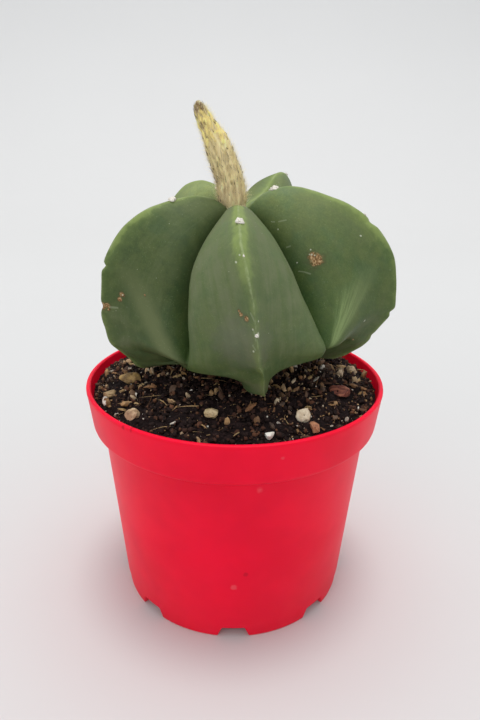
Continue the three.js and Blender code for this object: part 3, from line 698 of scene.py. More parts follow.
class Recipe:
    """One material, written as expressions."""

    def __init__(self, name, **constants):
        self.material = bpy.data.materials.new(name)
        self.material.use_nodes = True
        self.tree = self.material.node_tree
        self.tree.nodes.clear()
        self.shader = self.tree.nodes.new("ShaderNodeBsdfPrincipled")
        output = self.tree.nodes.new("ShaderNodeOutputMaterial")
        self.tree.links.new(self.shader.outputs[0], output.inputs[0])
        for key, value in constants.items():
            self.shader.inputs[key.replace("_", " ")].default_value = value
        self.place = self.add("ShaderNodeTexCoord", output="Object")

    def add(self, kind, settings=None, inputs=None, output=0):
        node = self.tree.nodes.new(kind)
        for key, value in (settings or {}).items():
            if key == "stops":
                self._stops(node.color_ramp, value)
            else:
                setattr(node, key, value)
        for key, value in (inputs or {}).items():
            if isinstance(value, Wire):
                self.tree.links.new(value.socket, node.inputs[key])
            else:
                node.inputs[key].default_value = value
        return Wire(self, node.outputs[output])

    @staticmethod
    def _stops(ramp, stops):
        while len(ramp.elements) < len(stops):
            ramp.elements.new(0.5)
        for element, (position, colour) in zip(ramp.elements, stops):
            element.position = position
            element.color = (*colour, 1)

    def layer(self, name):
        return self.add("ShaderNodeAttribute", dict(attribute_name=name), output="Fac")

    def stretched(self, scale):
        return self.add("ShaderNodeMapping", None, {0: self.place, 3: scale})

    def grain(self, scale, detail=3.0, rough=0.55, place=None, warp=0.0):
        """Soft noise around 0.5, with the scale in waves per millimetre."""
        return self.add("ShaderNodeTexNoise", None, {
            "Vector": place or self.place, "Scale": scale / MM, "Detail": detail,
            "Roughness": rough, "Distortion": warp})

    def cells(self, scale, output="Distance"):
        """Scattered cells, with the scale in cells per millimetre."""
        return self.add("ShaderNodeTexVoronoi", None, {
            "Vector": self.place, "Scale": scale / MM}, output)

    def ramp(self, factor, *stops):
        return self.add("ShaderNodeValToRGB", dict(stops=stops), {0: factor}, "Color")

    def blend(self, factor, first, second, mode="MIX"):
        first = first if isinstance(first, Wire) else (*first, 1)
        second = second if isinstance(second, Wire) else (*second, 1)
        return self.add("ShaderNodeMix", dict(data_type="RGBA", blend_type=mode),
                        {0: factor, 6: first, 7: second}, 2)

    def vector(self, operation, first, second, output="Vector"):
        return self.add("ShaderNodeVectorMath", dict(operation=operation), {0: first, 1: second},
                        output)

    def spot(self, centre, radius, wobble, soft=0.35, place=None):
        """1 inside a ball with a ragged edge, 0 outside; places in millimetres."""
        centre = tuple(c * MM for c in centre)
        distance = self.vector("DISTANCE", place or self.place, centre, "Value")
        ragged = distance / (radius * MM) + wobble
        return ragged.between(1.0 - soft, 1.0 + soft, 1.0, 0.0)

    def stroke(self, start, end, radius, wobble, place):
        """1 along a short line with a ragged edge, 0 away from it; places in millimetres."""
        start, end = np.array(start) * MM, np.array(end) * MM
        run = end - start
        offset = self.vector("SUBTRACT", place, tuple(start))
        share = self.vector("DOT_PRODUCT", offset, tuple(run / (run @ run)), "Value").clamped()
        nearest = self.add("ShaderNodeVectorMath", dict(operation="SCALE"),
                           {0: tuple(run), "Scale": share})
        distance = self.vector("DISTANCE", offset, nearest, "Value")
        return (distance / (radius * MM) + wobble).between(0.6, 1.3, 1.0, 0.0)

    def paint(self, colour, roughness, height=None, strength=None, distance=None):
        """Wires the finished colour, roughness and relief; distance is in millimetres."""
        self.tree.links.new(colour.socket, self.shader.inputs["Base Color"])
        self.tree.links.new(roughness.socket, self.shader.inputs["Roughness"])
        if height is not None:
            bump = self.add("ShaderNodeBump", None, {
                "Strength": strength, "Distance": distance * MM, "Height": height})
            self.tree.links.new(bump.socket, self.shader.inputs["Normal"])
        return self.material


def red_plastic(settings):
    """Moulded plastic: even red, a soft sheen, faint flow lines, rubbed spots and scuffs."""
    recipe = Recipe("red_moulded_plastic", IOR=1.48, Specular_IOR_Level=0.12,
                    Subsurface_Weight=0.35, Subsurface_Radius=(1.0, 0.08, 0.10),
                    Subsurface_Scale=3.0 * MM)
    colour = tuple(settings.colour)
    pale, dull, dirt = toned(colour, 0.82, 0.10), toned(colour, 0.86), toned(colour, 0.3)
    clouds = recipe.grain(0.035, 3)
    flow = recipe.grain(0.09, 4, place=recipe.stretched((1, 1, 0.12)))
    fine = recipe.grain(1.6, 3)
    wear = recipe.grain(0.22, 5, 0.7)
    scratches = recipe.grain(0.75, 2, place=recipe.stretched((1.0, 1.0, 0.07)), warp=0.6)
    scuff = (wear.between(0.69, 0.76) * scratches.between(0.5, 0.62)).clamped()
    base = recipe.blend(clouds.between(0.35, 0.7), colour, dull)
    base = recipe.blend(scuff * 0.4, base, pale)
    ragged = (wear - 0.5) * 3.0
    for centre, size, strength, rubbed in POT_MARKS:
        mark = recipe.spot(centre, size, ragged, 0.4)
        base = recipe.blend(mark * strength, base, pale if rubbed else dirt)
    rough = settings.roughness + (clouds - 0.5) * 0.10 + (flow - 0.5) * 0.10 + scuff * 0.18
    height = fine * 0.5 + flow * 0.6 - scuff * 0.5
    return recipe.paint(base, rough, height, 0.10, 0.12)


def damp_peat(settings):
    """Dark, crumbly peat with a little brown in it."""
    recipe = Recipe("damp_peat", Specular_IOR_Level=0.16)
    dark = tuple(settings.colour)
    brown = toned(dark, 3.2, 0.006)
    lumps = recipe.grain(0.5, 6, 0.65)
    crumbs = recipe.cells(1.7)
    fine = recipe.grain(3.6, 4, 0.7)
    base = recipe.ramp(lumps, (0.34, toned(dark, 0.45)), (0.52, dark), (0.7, brown))
    base = recipe.blend(crumbs.between(0.1, 0.7) * 0.6, base, toned(dark, 0.4))
    rough = fine * 0.25 + 0.7
    return recipe.paint(base, rough, lumps * 0.7 + (1 - crumbs) * 0.6 + fine * 0.4, 0.9, 0.7)


def crumb_peat(settings):
    """Peat clods: each one a little lighter or browner than the next."""
    recipe = Recipe("peat_crumbs", Specular_IOR_Level=0.18)
    dark = tuple(settings.colour)
    tint = recipe.layer("tint")
    fine = recipe.grain(2.8, 4, 0.7)
    base = recipe.ramp(tint, (0.0, toned(dark, 0.5)), (0.55, dark),
                       (0.85, (0.075, 0.031, 0.020)), (1.0, (0.16, 0.068, 0.034)))
    base = recipe.blend(fine.between(0.45, 0.7) * 0.5, base, (0.075, 0.045, 0.033))
    return recipe.paint(base, fine * 0.3 + 0.62, fine, 0.8, 0.4)


def grit_stone():
    """Horticultural grit: every grain its own colour, from grey-brown to cream and white."""
    recipe = Recipe("mixed_grit", Specular_IOR_Level=0.4)
    tint = recipe.layer("tint")
    veins = recipe.grain(0.9, 5, 0.65)
    pits = recipe.cells(2.4)
    base = recipe.ramp(
        tint, (0.0, (0.034, 0.018, 0.011)), (0.2, (0.095, 0.047, 0.024)),
        (0.42, (0.26, 0.13, 0.048)), (0.58, (0.45, 0.26, 0.10)), (0.72, (0.56, 0.35, 0.17)),
        (0.86, (0.60, 0.47, 0.31)), (0.96, (0.80, 0.74, 0.64)))
    base = recipe.blend(veins.between(0.42, 0.62) * 0.55, base, (0.16, 0.10, 0.065))
    base = recipe.blend(pits.between(0.0, 0.28, 1, 0) * 0.5, base, (0.10, 0.07, 0.05))
    return recipe.paint(base, veins * 0.35 + 0.5, veins + pits * 0.8, 0.6, 0.25)


def chip_material(name, light, middle, dark, pit_scale, pit_depth, stripe):
    """One stone or chip: two tones that cloud into each other, with dark pits."""
    recipe = Recipe(name, Specular_IOR_Level=0.35)
    place = recipe.stretched((1, stripe, stripe))
    clouds = recipe.grain(0.45, 5, 0.62, place)
    fine = recipe.grain(2.5, 4, 0.7)
    pits = recipe.cells(pit_scale)
    hole = pits.between(0.05, 0.3, 1, 0)
    base = recipe.ramp(clouds, (0.3, dark), (0.48, middle), (0.66, light))
    base = recipe.blend(hole * pit_depth, base, toned(dark, 0.4))
    base = recipe.blend(fine.between(0.55, 0.75) * 0.35, base, light)
    return recipe.paint(base, fine * 0.3 + 0.55, clouds + fine * 0.4 - hole * 0.9, 0.7, 0.3)


def straw_fibre():
    """Bark shreds, roots and straw: brown to straw yellow, striped along their length."""
    recipe = Recipe("bark_and_straw", Specular_IOR_Level=0.3)
    tint = recipe.layer("tint")
    fine = recipe.grain(1.8, 4, 0.7)
    base = recipe.ramp(tint, (0.0, (0.030, 0.016, 0.011)), (0.35, (0.10, 0.047, 0.026)),
                       (0.6, (0.30, 0.14, 0.058)), (0.9, (0.52, 0.35, 0.16)))
    base = recipe.blend(fine.between(0.45, 0.65) * 0.6, base, (0.06, 0.032, 0.02))
    return recipe.paint(base, fine * 0.3 + 0.6, fine, 0.6, 0.25)


class SkinLayers:
    """Where a point of the skin lies on its rib, and the noises that its materials share."""

    def __init__(self, recipe):
        self.across = recipe.layer("across")
        self.share = recipe.layer("place")
        self.front = recipe.layer("front")
        # Each rib's tone, which sets how much painted light and painted shade its skin gets.
        self.tone = recipe.layer("tone")
        self.flank = recipe.layer("flank")
        # How near a point lies to its groove, where the skin paints shade.
        self.groove = self.across.between(0.0, 0.46, 1, 0)
        wide, long, apart = (scale * MM for scale in SKIN_SCALE)
        self.place = recipe.add("ShaderNodeCombineXYZ", None, {
            0: self.across * wide, 1: self.share * long, 2: self.flank * apart})
        lengthwise = recipe.add("ShaderNodeCombineXYZ", None, {
            0: self.across * 46.0 * MM, 1: self.share * 12.0 * MM, 2: self.flank * apart})
        self.streaks = recipe.grain(0.42, 4, 0.6, lengthwise, 0.8)
        self.broad = recipe.grain(0.045, 4, 0.55)
        self.clouds = recipe.grain(0.16, 5, 0.62)
        self.mottle = recipe.grain(0.5, 5, 0.68)
        self.fine = recipe.grain(1.6, 4, 0.65)
        self.grit = recipe.grain(4.2, 2, 0.6)

    @staticmethod
    def spread(flank, share, across):
        """A point of the skin in the skin's own millimetres."""
        return tuple(a * b for a, b in zip((across, share, flank), SKIN_SCALE))

    def marks(self, rows):
        """Centres and sizes of rows of flank, share, across and size."""
        return [(self.spread(*place), size) for *place, size in rows]

    def strokes(self, rows):
        """Both ends and half the width of rows of flank, share and across twice, half width."""
        return [([self.spread(flank, *end) for end in ends], size) for flank, *ends, size in rows]


def skin_ground(recipe, skin, settings):
    """Painted shade deep in the grooves, low on the flanks and on every rib but the front one, most
    on the left one; painted light where a rib faces up; mottled all over.
    """
    flank = np.array(settings.colour)
    # Painted shade: the flank darkens towards the crease of its groove.
    base = recipe.blend(skin.groove * 0.9, tuple(flank), tuple(flank * (0.50, 0.66, 0.42)))
    # Painted light: paler where the flank faces up, high on the rib, more on ribs with a higher tone.
    painted_top_light = skin.across.between(0.12, 0.7) * skin.share.between(0.08, 0.42, 1, 0)
    base = recipe.blend(painted_top_light * skin.tone * 0.26, base, tuple(flank * (4.0, 3.2, 4.1)))
    # Painted shade: whole ribs darkened, the left one most, every rib but the front one a little.
    painted_rib_shade = skin.tone.between(0.5, 1.2, 0.32, 0) + skin.tone.between(1.4, 1.6) * 0.13
    base = recipe.blend(painted_rib_shade, base, (0.0, 0.0, 0.0))
    # Painted shade: darker low on the middle of each flank.
    low = skin.share.between(0.42, 0.58) * skin.across.between(0.3, 0.65)
    base = recipe.blend(low * 0.55, base, tuple(flank * (0.62, 0.66, 0.66)))
    patches = (
        (skin.clouds, 0.40, 0.60, 0.5, (1.24, 1.12, 0.82)),
        (recipe.grain(0.1, 4, 0.6, warp=0.5), 0.46, 0.64, 0.5, (0.80, 0.97, 1.16)),
        (skin.mottle, 0.36, 0.64, 1.0, (1.14, 1.12, 1.06)),
        (skin.fine, 0.36, 0.64, 1.0, (1.15, 1.13, 1.12)),
        (skin.grit, 0.35, 0.65, 1.0, (1.16, 1.14, 1.14)),
    )
    for layer, low, high, strength, colour in patches:
        base = recipe.blend(layer.between(low, high) * strength, base, colour, "MULTIPLY")
    return base


def skin_bloom(recipe, skin, settings, base):
    """Wax bloom in soft patches, strongest on the front rib, with one grey, rubbed patch."""
    haze = skin.broad.between(0.38, 0.66) * 0.4 + skin.clouds.between(0.42, 0.66) * 0.35
    haze = haze + skin.streaks.between(0.46, 0.68) * 0.25
    haze = haze * settings.bloom_amount * (1 - skin.groove * 0.8)
    fade = skin.share.between(0.36, 0.60, 0.60, 0.08)
    streaky = skin.clouds.between(0.3, 0.62, 0.55, 1.05) * skin.streaks.between(0.36, 0.62, 0.6, 1.05)
    haze = (haze + skin.front * fade * streaky).clamped()
    base = recipe.blend(haze, base, tuple(settings.bloom))
    ragged = (skin.broad - 0.5) * 0.9 + (skin.mottle - 0.5) * 1.2
    grey = recipe.spot((1.2, -35.5, 93.0), 7.0, ragged, 0.5)
    return recipe.blend(grey * 0.36, base, (0.155, 0.150, 0.118)), haze


def skin_fan(recipe, skin, settings, base):
    """Pale, dry streaks that fan out from a rib's lower corner, and a soft band of painted light."""
    flank = np.array(settings.colour)
    rise = (0.59 - skin.share).most(0.0) * 2.8 + 0.03
    turn = (skin.across - 0.03) / rise
    spread = recipe.add("ShaderNodeCombineXYZ", None, {
        0: turn * 25.0 * MM, 1: skin.share * 14.0 * MM, 2: skin.flank * SKIN_SCALE[2] * MM})
    lines = recipe.grain(0.45, 4, 0.65, spread, 0.4)
    hairs = recipe.grain(1.5, 3, 0.6, spread, 0.3)
    fan = turn.between(0.55, 0.92) * turn.between(1.15, 1.7, 1, 0) * recipe.layer("streaks")
    fan = fan * skin.share.between(0.37, 0.49) * skin.share.between(0.55, 0.60, 1, 0)
    strength = lines.between(0.40, 0.58) * 0.55 + hairs.between(0.46, 0.62) * 0.3 + 0.40
    base = recipe.blend((fan * strength).clamped(), base, tuple(flank * (3.2, 2.7, 3.3)))
    # Painted light: a soft pale band slanting across the lower flank, strongest on the left rib and
    # left off the front rib.
    slant = skin.across + (skin.share - 0.5) * 3.0 + (skin.clouds - 0.5) * 0.12
    band = slant.between(0.20, 0.40) * slant.between(0.46, 0.66, 1, 0) * (1 - skin.front)
    band = band * skin.share.between(0.34, 0.46) * skin.share.between(0.60, 0.64, 1, 0)
    return recipe.blend(band * skin.tone.between(0.6, 1.4, 0.9, 0.3), base, (0.125, 0.150, 0.062))


def skin_ridge(recipe, skin, settings, base):
    """A wandering yellow-green band on each ridge with a thin, broken, pale line in it."""
    ridge = np.array(settings.ridge)
    wander = (skin.clouds - 0.5) * 0.12 + (skin.mottle - 0.5) * 0.06
    high = skin.share.between(0.30, 0.42, 1, 0.35)
    halo = (skin.across + wander).between(0.82, 0.98) * high
    broad = (skin.across + wander + skin.front * high * 0.04).between(0.93, 0.985)
    band = broad * skin.clouds.between(0.34, 0.54, 0.35, 1)
    line = (skin.across + wander * 0.3).between(0.975, 0.995)
    line = line * skin.mottle.between(0.40, 0.58, 0.25, 1) * skin.share.between(0.44, 0.54, 1, 0.6)
    base = recipe.blend(halo * 0.3, base, tuple(ridge * (0.75, 0.85, 0.6)))
    base = recipe.blend(band * high * 0.7, base, tuple(ridge * (0.95, 1.0, 0.8)))
    return recipe.blend(line * 0.5, base, tuple(ridge * (1.2, 1.15, 1.6))), line


def skin_marks(recipe, skin, base):
    """Old skin low down, white flecks and dust, dry scratches and corky scars."""
    old = skin.clouds.between(0.52, 0.66) * skin.share.between(0.42, 0.62)
    base = recipe.blend(old * skin.across.between(0.5, 0.95) * 0.3, base, (0.15, 0.15, 0.10))
    pick = recipe.cells(0.62, output="Color")
    chance = recipe.add("ShaderNodeSeparateColor", None, {0: pick}, 0).between(0.80, 0.82)
    fleck = recipe.cells(0.62).between(0.02, 0.09, 1, 0) * chance * skin.clouds.between(0.4, 0.56)
    dust = recipe.cells(2.1).between(0.05, 0.3, 1, 0) * skin.mottle.between(0.48, 0.60)
    base = recipe.blend(dust * 0.26, base, (0.34, 0.38, 0.24))
    wobble = (recipe.grain(0.8, 4, 0.65) - 0.5) * 1.9
    cork = highest(recipe.spot(centre, size, wobble, place=skin.place)
                   for centre, size in skin.marks(SCARS))
    halo = highest(recipe.spot(centre, size * 1.55, wobble, 0.45, skin.place)
                   for centre, size in skin.marks(SCARS))
    fleck = highest([fleck, *(recipe.spot(centre, size, wobble * 0.8, place=skin.place)
                              for centre, size in skin.marks(FLECKS))])
    scratch = highest(recipe.stroke(start, end, size, wobble * 0.5, skin.place)
                      for (start, end), size in skin.strokes(SCRATCHES))
    base = recipe.blend(halo * 0.45, base, (0.075, 0.060, 0.026))
    tone = recipe.ramp(recipe.grain(1.9, 4, 0.75), (0.38, (0.07, 0.032, 0.013)),
                       (0.50, (0.27, 0.145, 0.055)), (0.66, (0.66, 0.46, 0.25)))
    base = recipe.blend(cork * 0.94, base, tone)
    base = recipe.blend(scratch * 0.3, base, (0.36, 0.40, 0.26))
    return recipe.blend(fleck * 0.7, base, (0.55, 0.57, 0.43)), cork, fleck.most(scratch * 0.5)


def cactus_skin(settings):
    """Waxy skin: green flanks with bloom, streaks, a pale line on each ridge, and marks."""
    recipe = Recipe("waxy_cactus_skin", IOR=1.42, Specular_IOR_Level=0.26)
    skin = SkinLayers(recipe)
    base = skin_ground(recipe, skin, settings)
    base, haze = skin_bloom(recipe, skin, settings, base)
    base = skin_fan(recipe, skin, settings, base)
    base, line = skin_ridge(recipe, skin, settings, base)
    base, cork, fleck = skin_marks(recipe, skin, base)
    rough = settings.roughness + (skin.clouds - 0.5) * 0.16 - fleck * 0.1 + cork * 0.3
    rough = rough + haze * 0.08
    pores = recipe.cells(1.25).between(0.0, 0.5)
    height = skin.fine * 0.4 + pores * 0.22 + skin.streaks * 0.25 + fleck * 0.7 + line * 0.7
    height = height + cork * recipe.grain(1.9, 4, 0.7) * 2.2 + skin.mottle * 0.35
    return recipe.paint(base, rough, height, 0.34, 0.16)


def white_wool():
    recipe = Recipe("white_wool", Specular_IOR_Level=0.2)
    tint = recipe.layer("tint")
    height = recipe.layer("height")
    base = recipe.ramp(tint, (0.0, (0.80, 0.74, 0.64)),
                       (0.3, (0.95, 0.93, 0.88)), (1.0, (0.98, 0.97, 0.95)))
    base = recipe.blend(height.between(0.0, 0.4, 0.4, 0), base, (0.62, 0.50, 0.34))
    return recipe.paint(base, 0.95 - recipe.grain(3.0) * 0.1)


def wool_bed():
    recipe = Recipe("matted_wool", Specular_IOR_Level=0.2)
    fine = recipe.grain(4.5, 4, 0.7)
    base = recipe.ramp(fine, (0.34, (0.42, 0.32, 0.21)),
                       (0.48, (0.86, 0.80, 0.69)), (0.64, (0.96, 0.94, 0.90)))
    return recipe.paint(base, fine * 0.1 + 0.85, fine, 0.8, 0.3)


def dry_flower_skin(name, settings, yellow=0.0, brown=0.68):
    """Withered tissue: straw or golden, striped along, and brown from one height to each tip."""
    recipe = Recipe(name, Specular_IOR_Level=0.25)
    straw = tuple(settings.colour)
    gold = tuple(settings.petal_colour)
    light = tuple(s * (1 - yellow) + g * yellow for s, g in zip(straw, gold))
    stripes = recipe.grain(1.3, 4, 0.6, recipe.stretched((1, 1, 0.16)))
    fine = recipe.grain(3.2, 4, 0.7)
    base = recipe.ramp(stripes, (0.34, toned(light, 0.62)), (0.5, light), (0.68, toned(light, 1.35)))
    height = recipe.layer("height")
    tint = recipe.layer("tint")
    base = recipe.blend(tint.between(0.35, 1.0) * 0.3, base, toned(light, 0.5))
    tip = height.between(brown, 0.97) * tint.between(0.4, 0.7)
    base = recipe.blend(tip * 0.9, base, (0.055, 0.026, 0.012))
    ragged = (stripes - 0.5) * 4.5 + (fine - 0.5) * 2.0
    streaky = stripes.between(0.44, 0.52)
    for centre, size in ((-10.2, CACTUS_Y - 1.2, 146.6), 2.2), ((-9.4, CACTUS_Y - 2.4, 142.2), 1.2):
        stain = recipe.spot(centre, size, ragged, 0.5)
        base = recipe.blend(stain * streaky * 0.9, base, (0.11, 0.038, 0.013))
    return recipe.paint(base, fine * 0.2 + 0.7, stripes + fine * 0.4, 0.6, 0.25)


def dry_hair(settings):
    recipe = Recipe("dry_hair", Specular_IOR_Level=0.3)
    tint = recipe.layer("tint")
    pale = toned(settings.colour, 1.12, 0.08)
    base = recipe.ramp(tint, (0.0, (0.22, 0.11, 0.04)), (0.17, tuple(settings.colour)),
                       (1.0, pale))
    # Painted shade: a pinkish tan patch over the left side of the flower's hair.
    painted_left_shade = recipe.spot((-8.0, CACTUS_Y, 122.0), 9.0, recipe.grain(0.3, 3) - 0.5, 0.3)
    base = recipe.blend(painted_left_shade * 0.45, base, (0.80, 0.62, 0.46))
    base = recipe.blend(recipe.layer("height").between(0.1, 0.9) * 0.3, base, pale)
    return recipe.paint(base, 0.85 - recipe.grain(2.0) * 0.1)


def studio_sheet(settings):
    recipe = Recipe("studio_sheet", Specular_IOR_Level=0.2)
    clouds = recipe.grain(0.004, 3)
    tone = tuple(settings.floor_colour)
    base = recipe.blend(clouds.between(0.3, 0.7) * 0.5, tone, toned(tone, 0.985))
    return recipe.paint(base, clouds * 0.1 + 0.7)


# ---------------------------------------------------------------- settings

def length_setting(name, description, default):
    return FloatProperty(name=name, description=description, default=default * MM, precision=4,
                         unit="LENGTH", subtype="DISTANCE")


def colour_setting(name, description, default):
    return FloatVectorProperty(name=name, description=description, default=default, size=3,
                               subtype="COLOR", min=0, max=1)


def share_setting(name, description, default):
    return FloatProperty(name=name, description=description, default=default, min=0, max=1,
                         subtype="FACTOR")


def light_setting(name, description, default, unit="NONE"):
    return FloatProperty(name=name, description=description, default=default, min=0, unit=unit)


def count_setting(name, description, default, least=0):
    return IntProperty(name=name, description=description, default=default, min=least)


class PotSettings(bpy.types.PropertyGroup):
    rim_radius: length_setting("Rim radius", "Outer radius of the rim", RIM_RADIUS)
    height: length_setting("Height", "Height of the rim above the floor", RIM_HEIGHT)
    notch_width: length_setting("Notch width", "Width of each notch in the foot", NOTCH_WIDTH)
    colour: colour_setting("Plastic", "Colour of the plastic", (0.97, 0.003, 0.034))
    roughness: share_setting("Roughness", "How matt the plastic is", 0.42)


class MixSettings(bpy.types.PropertyGroup):
    colour: colour_setting("Peat", "Colour of the peat", (0.0165, 0.0078, 0.0072))
    crumbs: count_setting("Crumbs", "How many peat crumbs lie on top", 5200)
    grains: count_setting("Grit", "How many grains of grit lie on top", 700)
    specks: count_setting("Specks", "How many fine specks lie on top", 1100)
    fibres: count_setting("Fibres", "How many shreds and roots lie on top", 320)
    seed: count_setting("Seed", "Changes how the mix falls", 7)


class CactusSettings(bpy.types.PropertyGroup):
    colour: colour_setting("Skin", "Green of the flanks", (0.064, 0.102, 0.032))
    bloom: colour_setting("Bloom", "Grey wax on the skin", (0.142, 0.166, 0.084))
    bloom_amount: share_setting("Bloom amount", "How much wax the skin carries", 0.45)
    ridge: colour_setting("Ridge line", "Colour of the line on each ridge", (0.27, 0.33, 0.12))
    roughness: share_setting("Roughness", "How matt the skin is", 0.52)
    columns: count_setting("Columns", "Faces across each flank", 31, 4)
    rows: count_setting("Rows", "Faces from crown to neck", 270, 20)


class FlowerSettings(bpy.types.PropertyGroup):
    colour: colour_setting("Straw", "Colour of the dry tube and its hair", (0.90, 0.74, 0.42))
    petal_colour: colour_setting("Petals", "Colour of the dry petals", (0.93, 0.74, 0.27))
    scales: count_setting("Scales", "How many scales cover it", 90)
    hairs: count_setting("Hairs", "How many hairs it has", 10400)
    bristles: count_setting("Bristles", "How many dark bristles it has", 110)


class StageSettings(bpy.types.PropertyGroup):
    floor_colour: colour_setting("Floor", "Colour of the floor", (0.65, 0.645, 0.635))
    air: light_setting("Room light", "Strength of the light from all sides", 0.86)
    sun: light_setting("Top light", "Strength of the soft light overhead", 0.78)
    fill_power: light_setting("Front light", "Power of the light beside the camera", 0.85, "POWER")
    back_power: light_setting("Back light", "Power of the light on the backdrop", 4.0, "POWER")


# ---------------------------------------------------------------- pot

def ring_walk(name, pairs, sides):
    """Extrudes a filled circle from pair to pair of radius and height, and fills its end."""
    deselect()
    radius, height = pairs[0]
    bpy.ops.mesh.primitive_circle_add(
        vertices=sides, radius=radius * MM, fill_type="NGON", location=(0, 0, 0))
    piece = added(name)
    with editing():
        bpy.ops.transform.translate(value=(0, 0, height * MM))
        bpy.ops.mesh.select_mode(type="EDGE")
        bpy.ops.mesh.select_all(action="SELECT")
        for next_radius, next_height in pairs[1:]:
            grow = next_radius / radius
            bpy.ops.mesh.extrude_edges_move()
            bpy.ops.transform.resize(value=(grow, grow, 1), center_override=(0, 0, 0))
            bpy.ops.transform.translate(value=(0, 0, (next_height - height) * MM))
            radius, height = next_radius, next_height
        bpy.ops.mesh.edge_face_add()
        bpy.ops.mesh.select_all(action="SELECT")
        bpy.ops.mesh.normals_make_consistent(inside=False)
    return piece


def cut_away(piece, cutter):
    apply_modifier(piece, "BOOLEAN", operation="DIFFERENCE", object=cutter, solver="EXACT")
    bpy.data.objects.remove(cutter, do_unlink=True)


def notch_cutter(azimuth, width):
    """A cutter as wide as the notch at the table and narrower above it."""
    deselect()
    spot = around(azimuth, WALL_FOOT_RADIUS, 0.0) * MM
    bpy.ops.mesh.primitive_cone_add(
        vertices=4, radius1=NOTCH_FOOT * width * math.sqrt(0.5),
        radius2=NOTCH_TOP * width * math.sqrt(0.5), depth=2 * NOTCH_HEIGHT * MM)
    cutter = added("notch_cutter")
    with editing():
        bpy.ops.transform.rotate(value=math.radians(45), orient_axis="Z", center_override=(0, 0, 0))
        bpy.ops.mesh.bevel(offset=0.4 * MM, segments=2, affect="EDGES")
    cutter.matrix_world = Matrix.Translation(spot) @ Matrix.Rotation(math.radians(azimuth), 4, "Z")
    return cutter


def drain_cutter(azimuth):
    deselect()
    spot = around(azimuth, DRAIN_RING, FLOOR_TOP) * MM
    bpy.ops.mesh.primitive_cylinder_add(
        vertices=28, radius=DRAIN_RADIUS * MM, depth=5 * MM, location=spot)
    return added("drain_cutter")


class CACTUS_OT_pot(bpy.types.Operator):
    """Model the plastic pot: foot with notches, wall, stepped rim band and drained floor"""
    bl_idname = "cactus.pot"
    bl_label = "Pot"

    def execute(self, context):
        settings = context.scene.cactus_pot
        rim, top = settings.rim_radius / MM, settings.height / MM
        pot = ring_walk("nursery_pot", [
            (1.0, FLOOR_BOTTOM), (DRAIN_RING, FLOOR_BOTTOM), (FOOT_INNER_RADIUS + 0.1, FLOOR_BOTTOM),
            (FOOT_INNER_RADIUS, 0), (FOOT_OUTER_RADIUS, 0), (WALL_FOOT_RADIUS - 0.2, 0.6),
            (WALL_FOOT_RADIUS + 0.1, 4.2), (WALL_FOOT_RADIUS + 0.42, 4.7), (38.2, 30),
            (WALL_TOP_RADIUS, BAND_BOTTOM - 1.0),
            (BAND_RADIUS - 2.2, BAND_BOTTOM - 0.85), (BAND_RADIUS - 0.9, BAND_BOTTOM - 0.45),
            (BAND_RADIUS - 0.2, BAND_BOTTOM + 0.1), (BAND_RADIUS + 0.05, BAND_BOTTOM + 0.9),
            (rim - 0.12, top - 1.2), (rim, top - 0.75), (rim - 0.1, top - 0.25),
            (rim - 0.45, top), (rim - 1.0, top), (rim - WALL - 0.02, top - 0.3),
            (rim - WALL - 0.1, top - 0.9), (BAND_RADIUS - WALL, BAND_BOTTOM + 1),
            (WALL_TOP_RADIUS - WALL, BAND_BOTTOM - 2), (WALL_FOOT_RADIUS - WALL + 0.3, FLOOR_TOP),
            (DRAIN_RING, FLOOR_TOP), (1.0, FLOOR_TOP),
        ], 144)
        for i in range(FOOT_NOTCHES):
            azimuth = NOTCH_AZIMUTH + i * 360 / FOOT_NOTCHES
            cut_away(pot, notch_cutter(azimuth, settings.notch_width))
            cut_away(pot, drain_cutter(azimuth + 180 / FOOT_NOTCHES))
        apply_modifier(pot, "BEVEL", width=0.22 * MM, segments=2, limit_method="ANGLE",
                       angle_limit=math.radians(48))
        smooth(pot, 38)
        finish(pot, red_plastic(settings), "pot")
        return {"FINISHED"}


# ---------------------------------------------------------------- potting mix

def taken(x, y, reach):
    """Whether a grain would lie on one of the named stones."""
    return any(math.hypot(x - stone_x, y - stone_y) < width / 2 + reach
               for stone_x, stone_y, width, *_ in STONES.values())


def richness(azimuth):
    """How much grit lies at an azimuth: little in front, more at the sides and behind."""
    sides = hump(azimuth, 62, 58) + hump(azimuth, -82, 48) + 0.7 * hump(abs(azimuth), 180, 70)
    return min(1.0, 0.22 + float(sides))


def scatter(rng, count, low, high, sink, even=True):
    """Places, turns and sizes for grains that lie on the mix and clear of the pot's wall."""
    places, turns, sizes = [], [], []
    while len(places) < count:
        size = low + (high - low) * rng.random() ** 2.2
        radius = math.sqrt(rng.uniform(NECK_HOLE_RADIUS ** 2, (MIX_RADIUS + 0.3 - size / 2) ** 2))
        azimuth = rng.uniform(-180, 180)
        if not even and rng.random() > richness(azimuth):
            continue
        spot = around(azimuth, radius, 0.0)
        if math.hypot(spot[0], spot[1] - CACTUS_Y) < NECK_HOLE_RADIUS + size / 2 + 0.3:
            continue
        if taken(spot[0], spot[1], size * 0.45):
            continue
        spot[2] = mix_height(spot[0], spot[1]) + size * sink
        places.append(spot)
        turns.append(random_turn(rng))
        sizes.append(size)
    return places, turns, np.array(sizes)


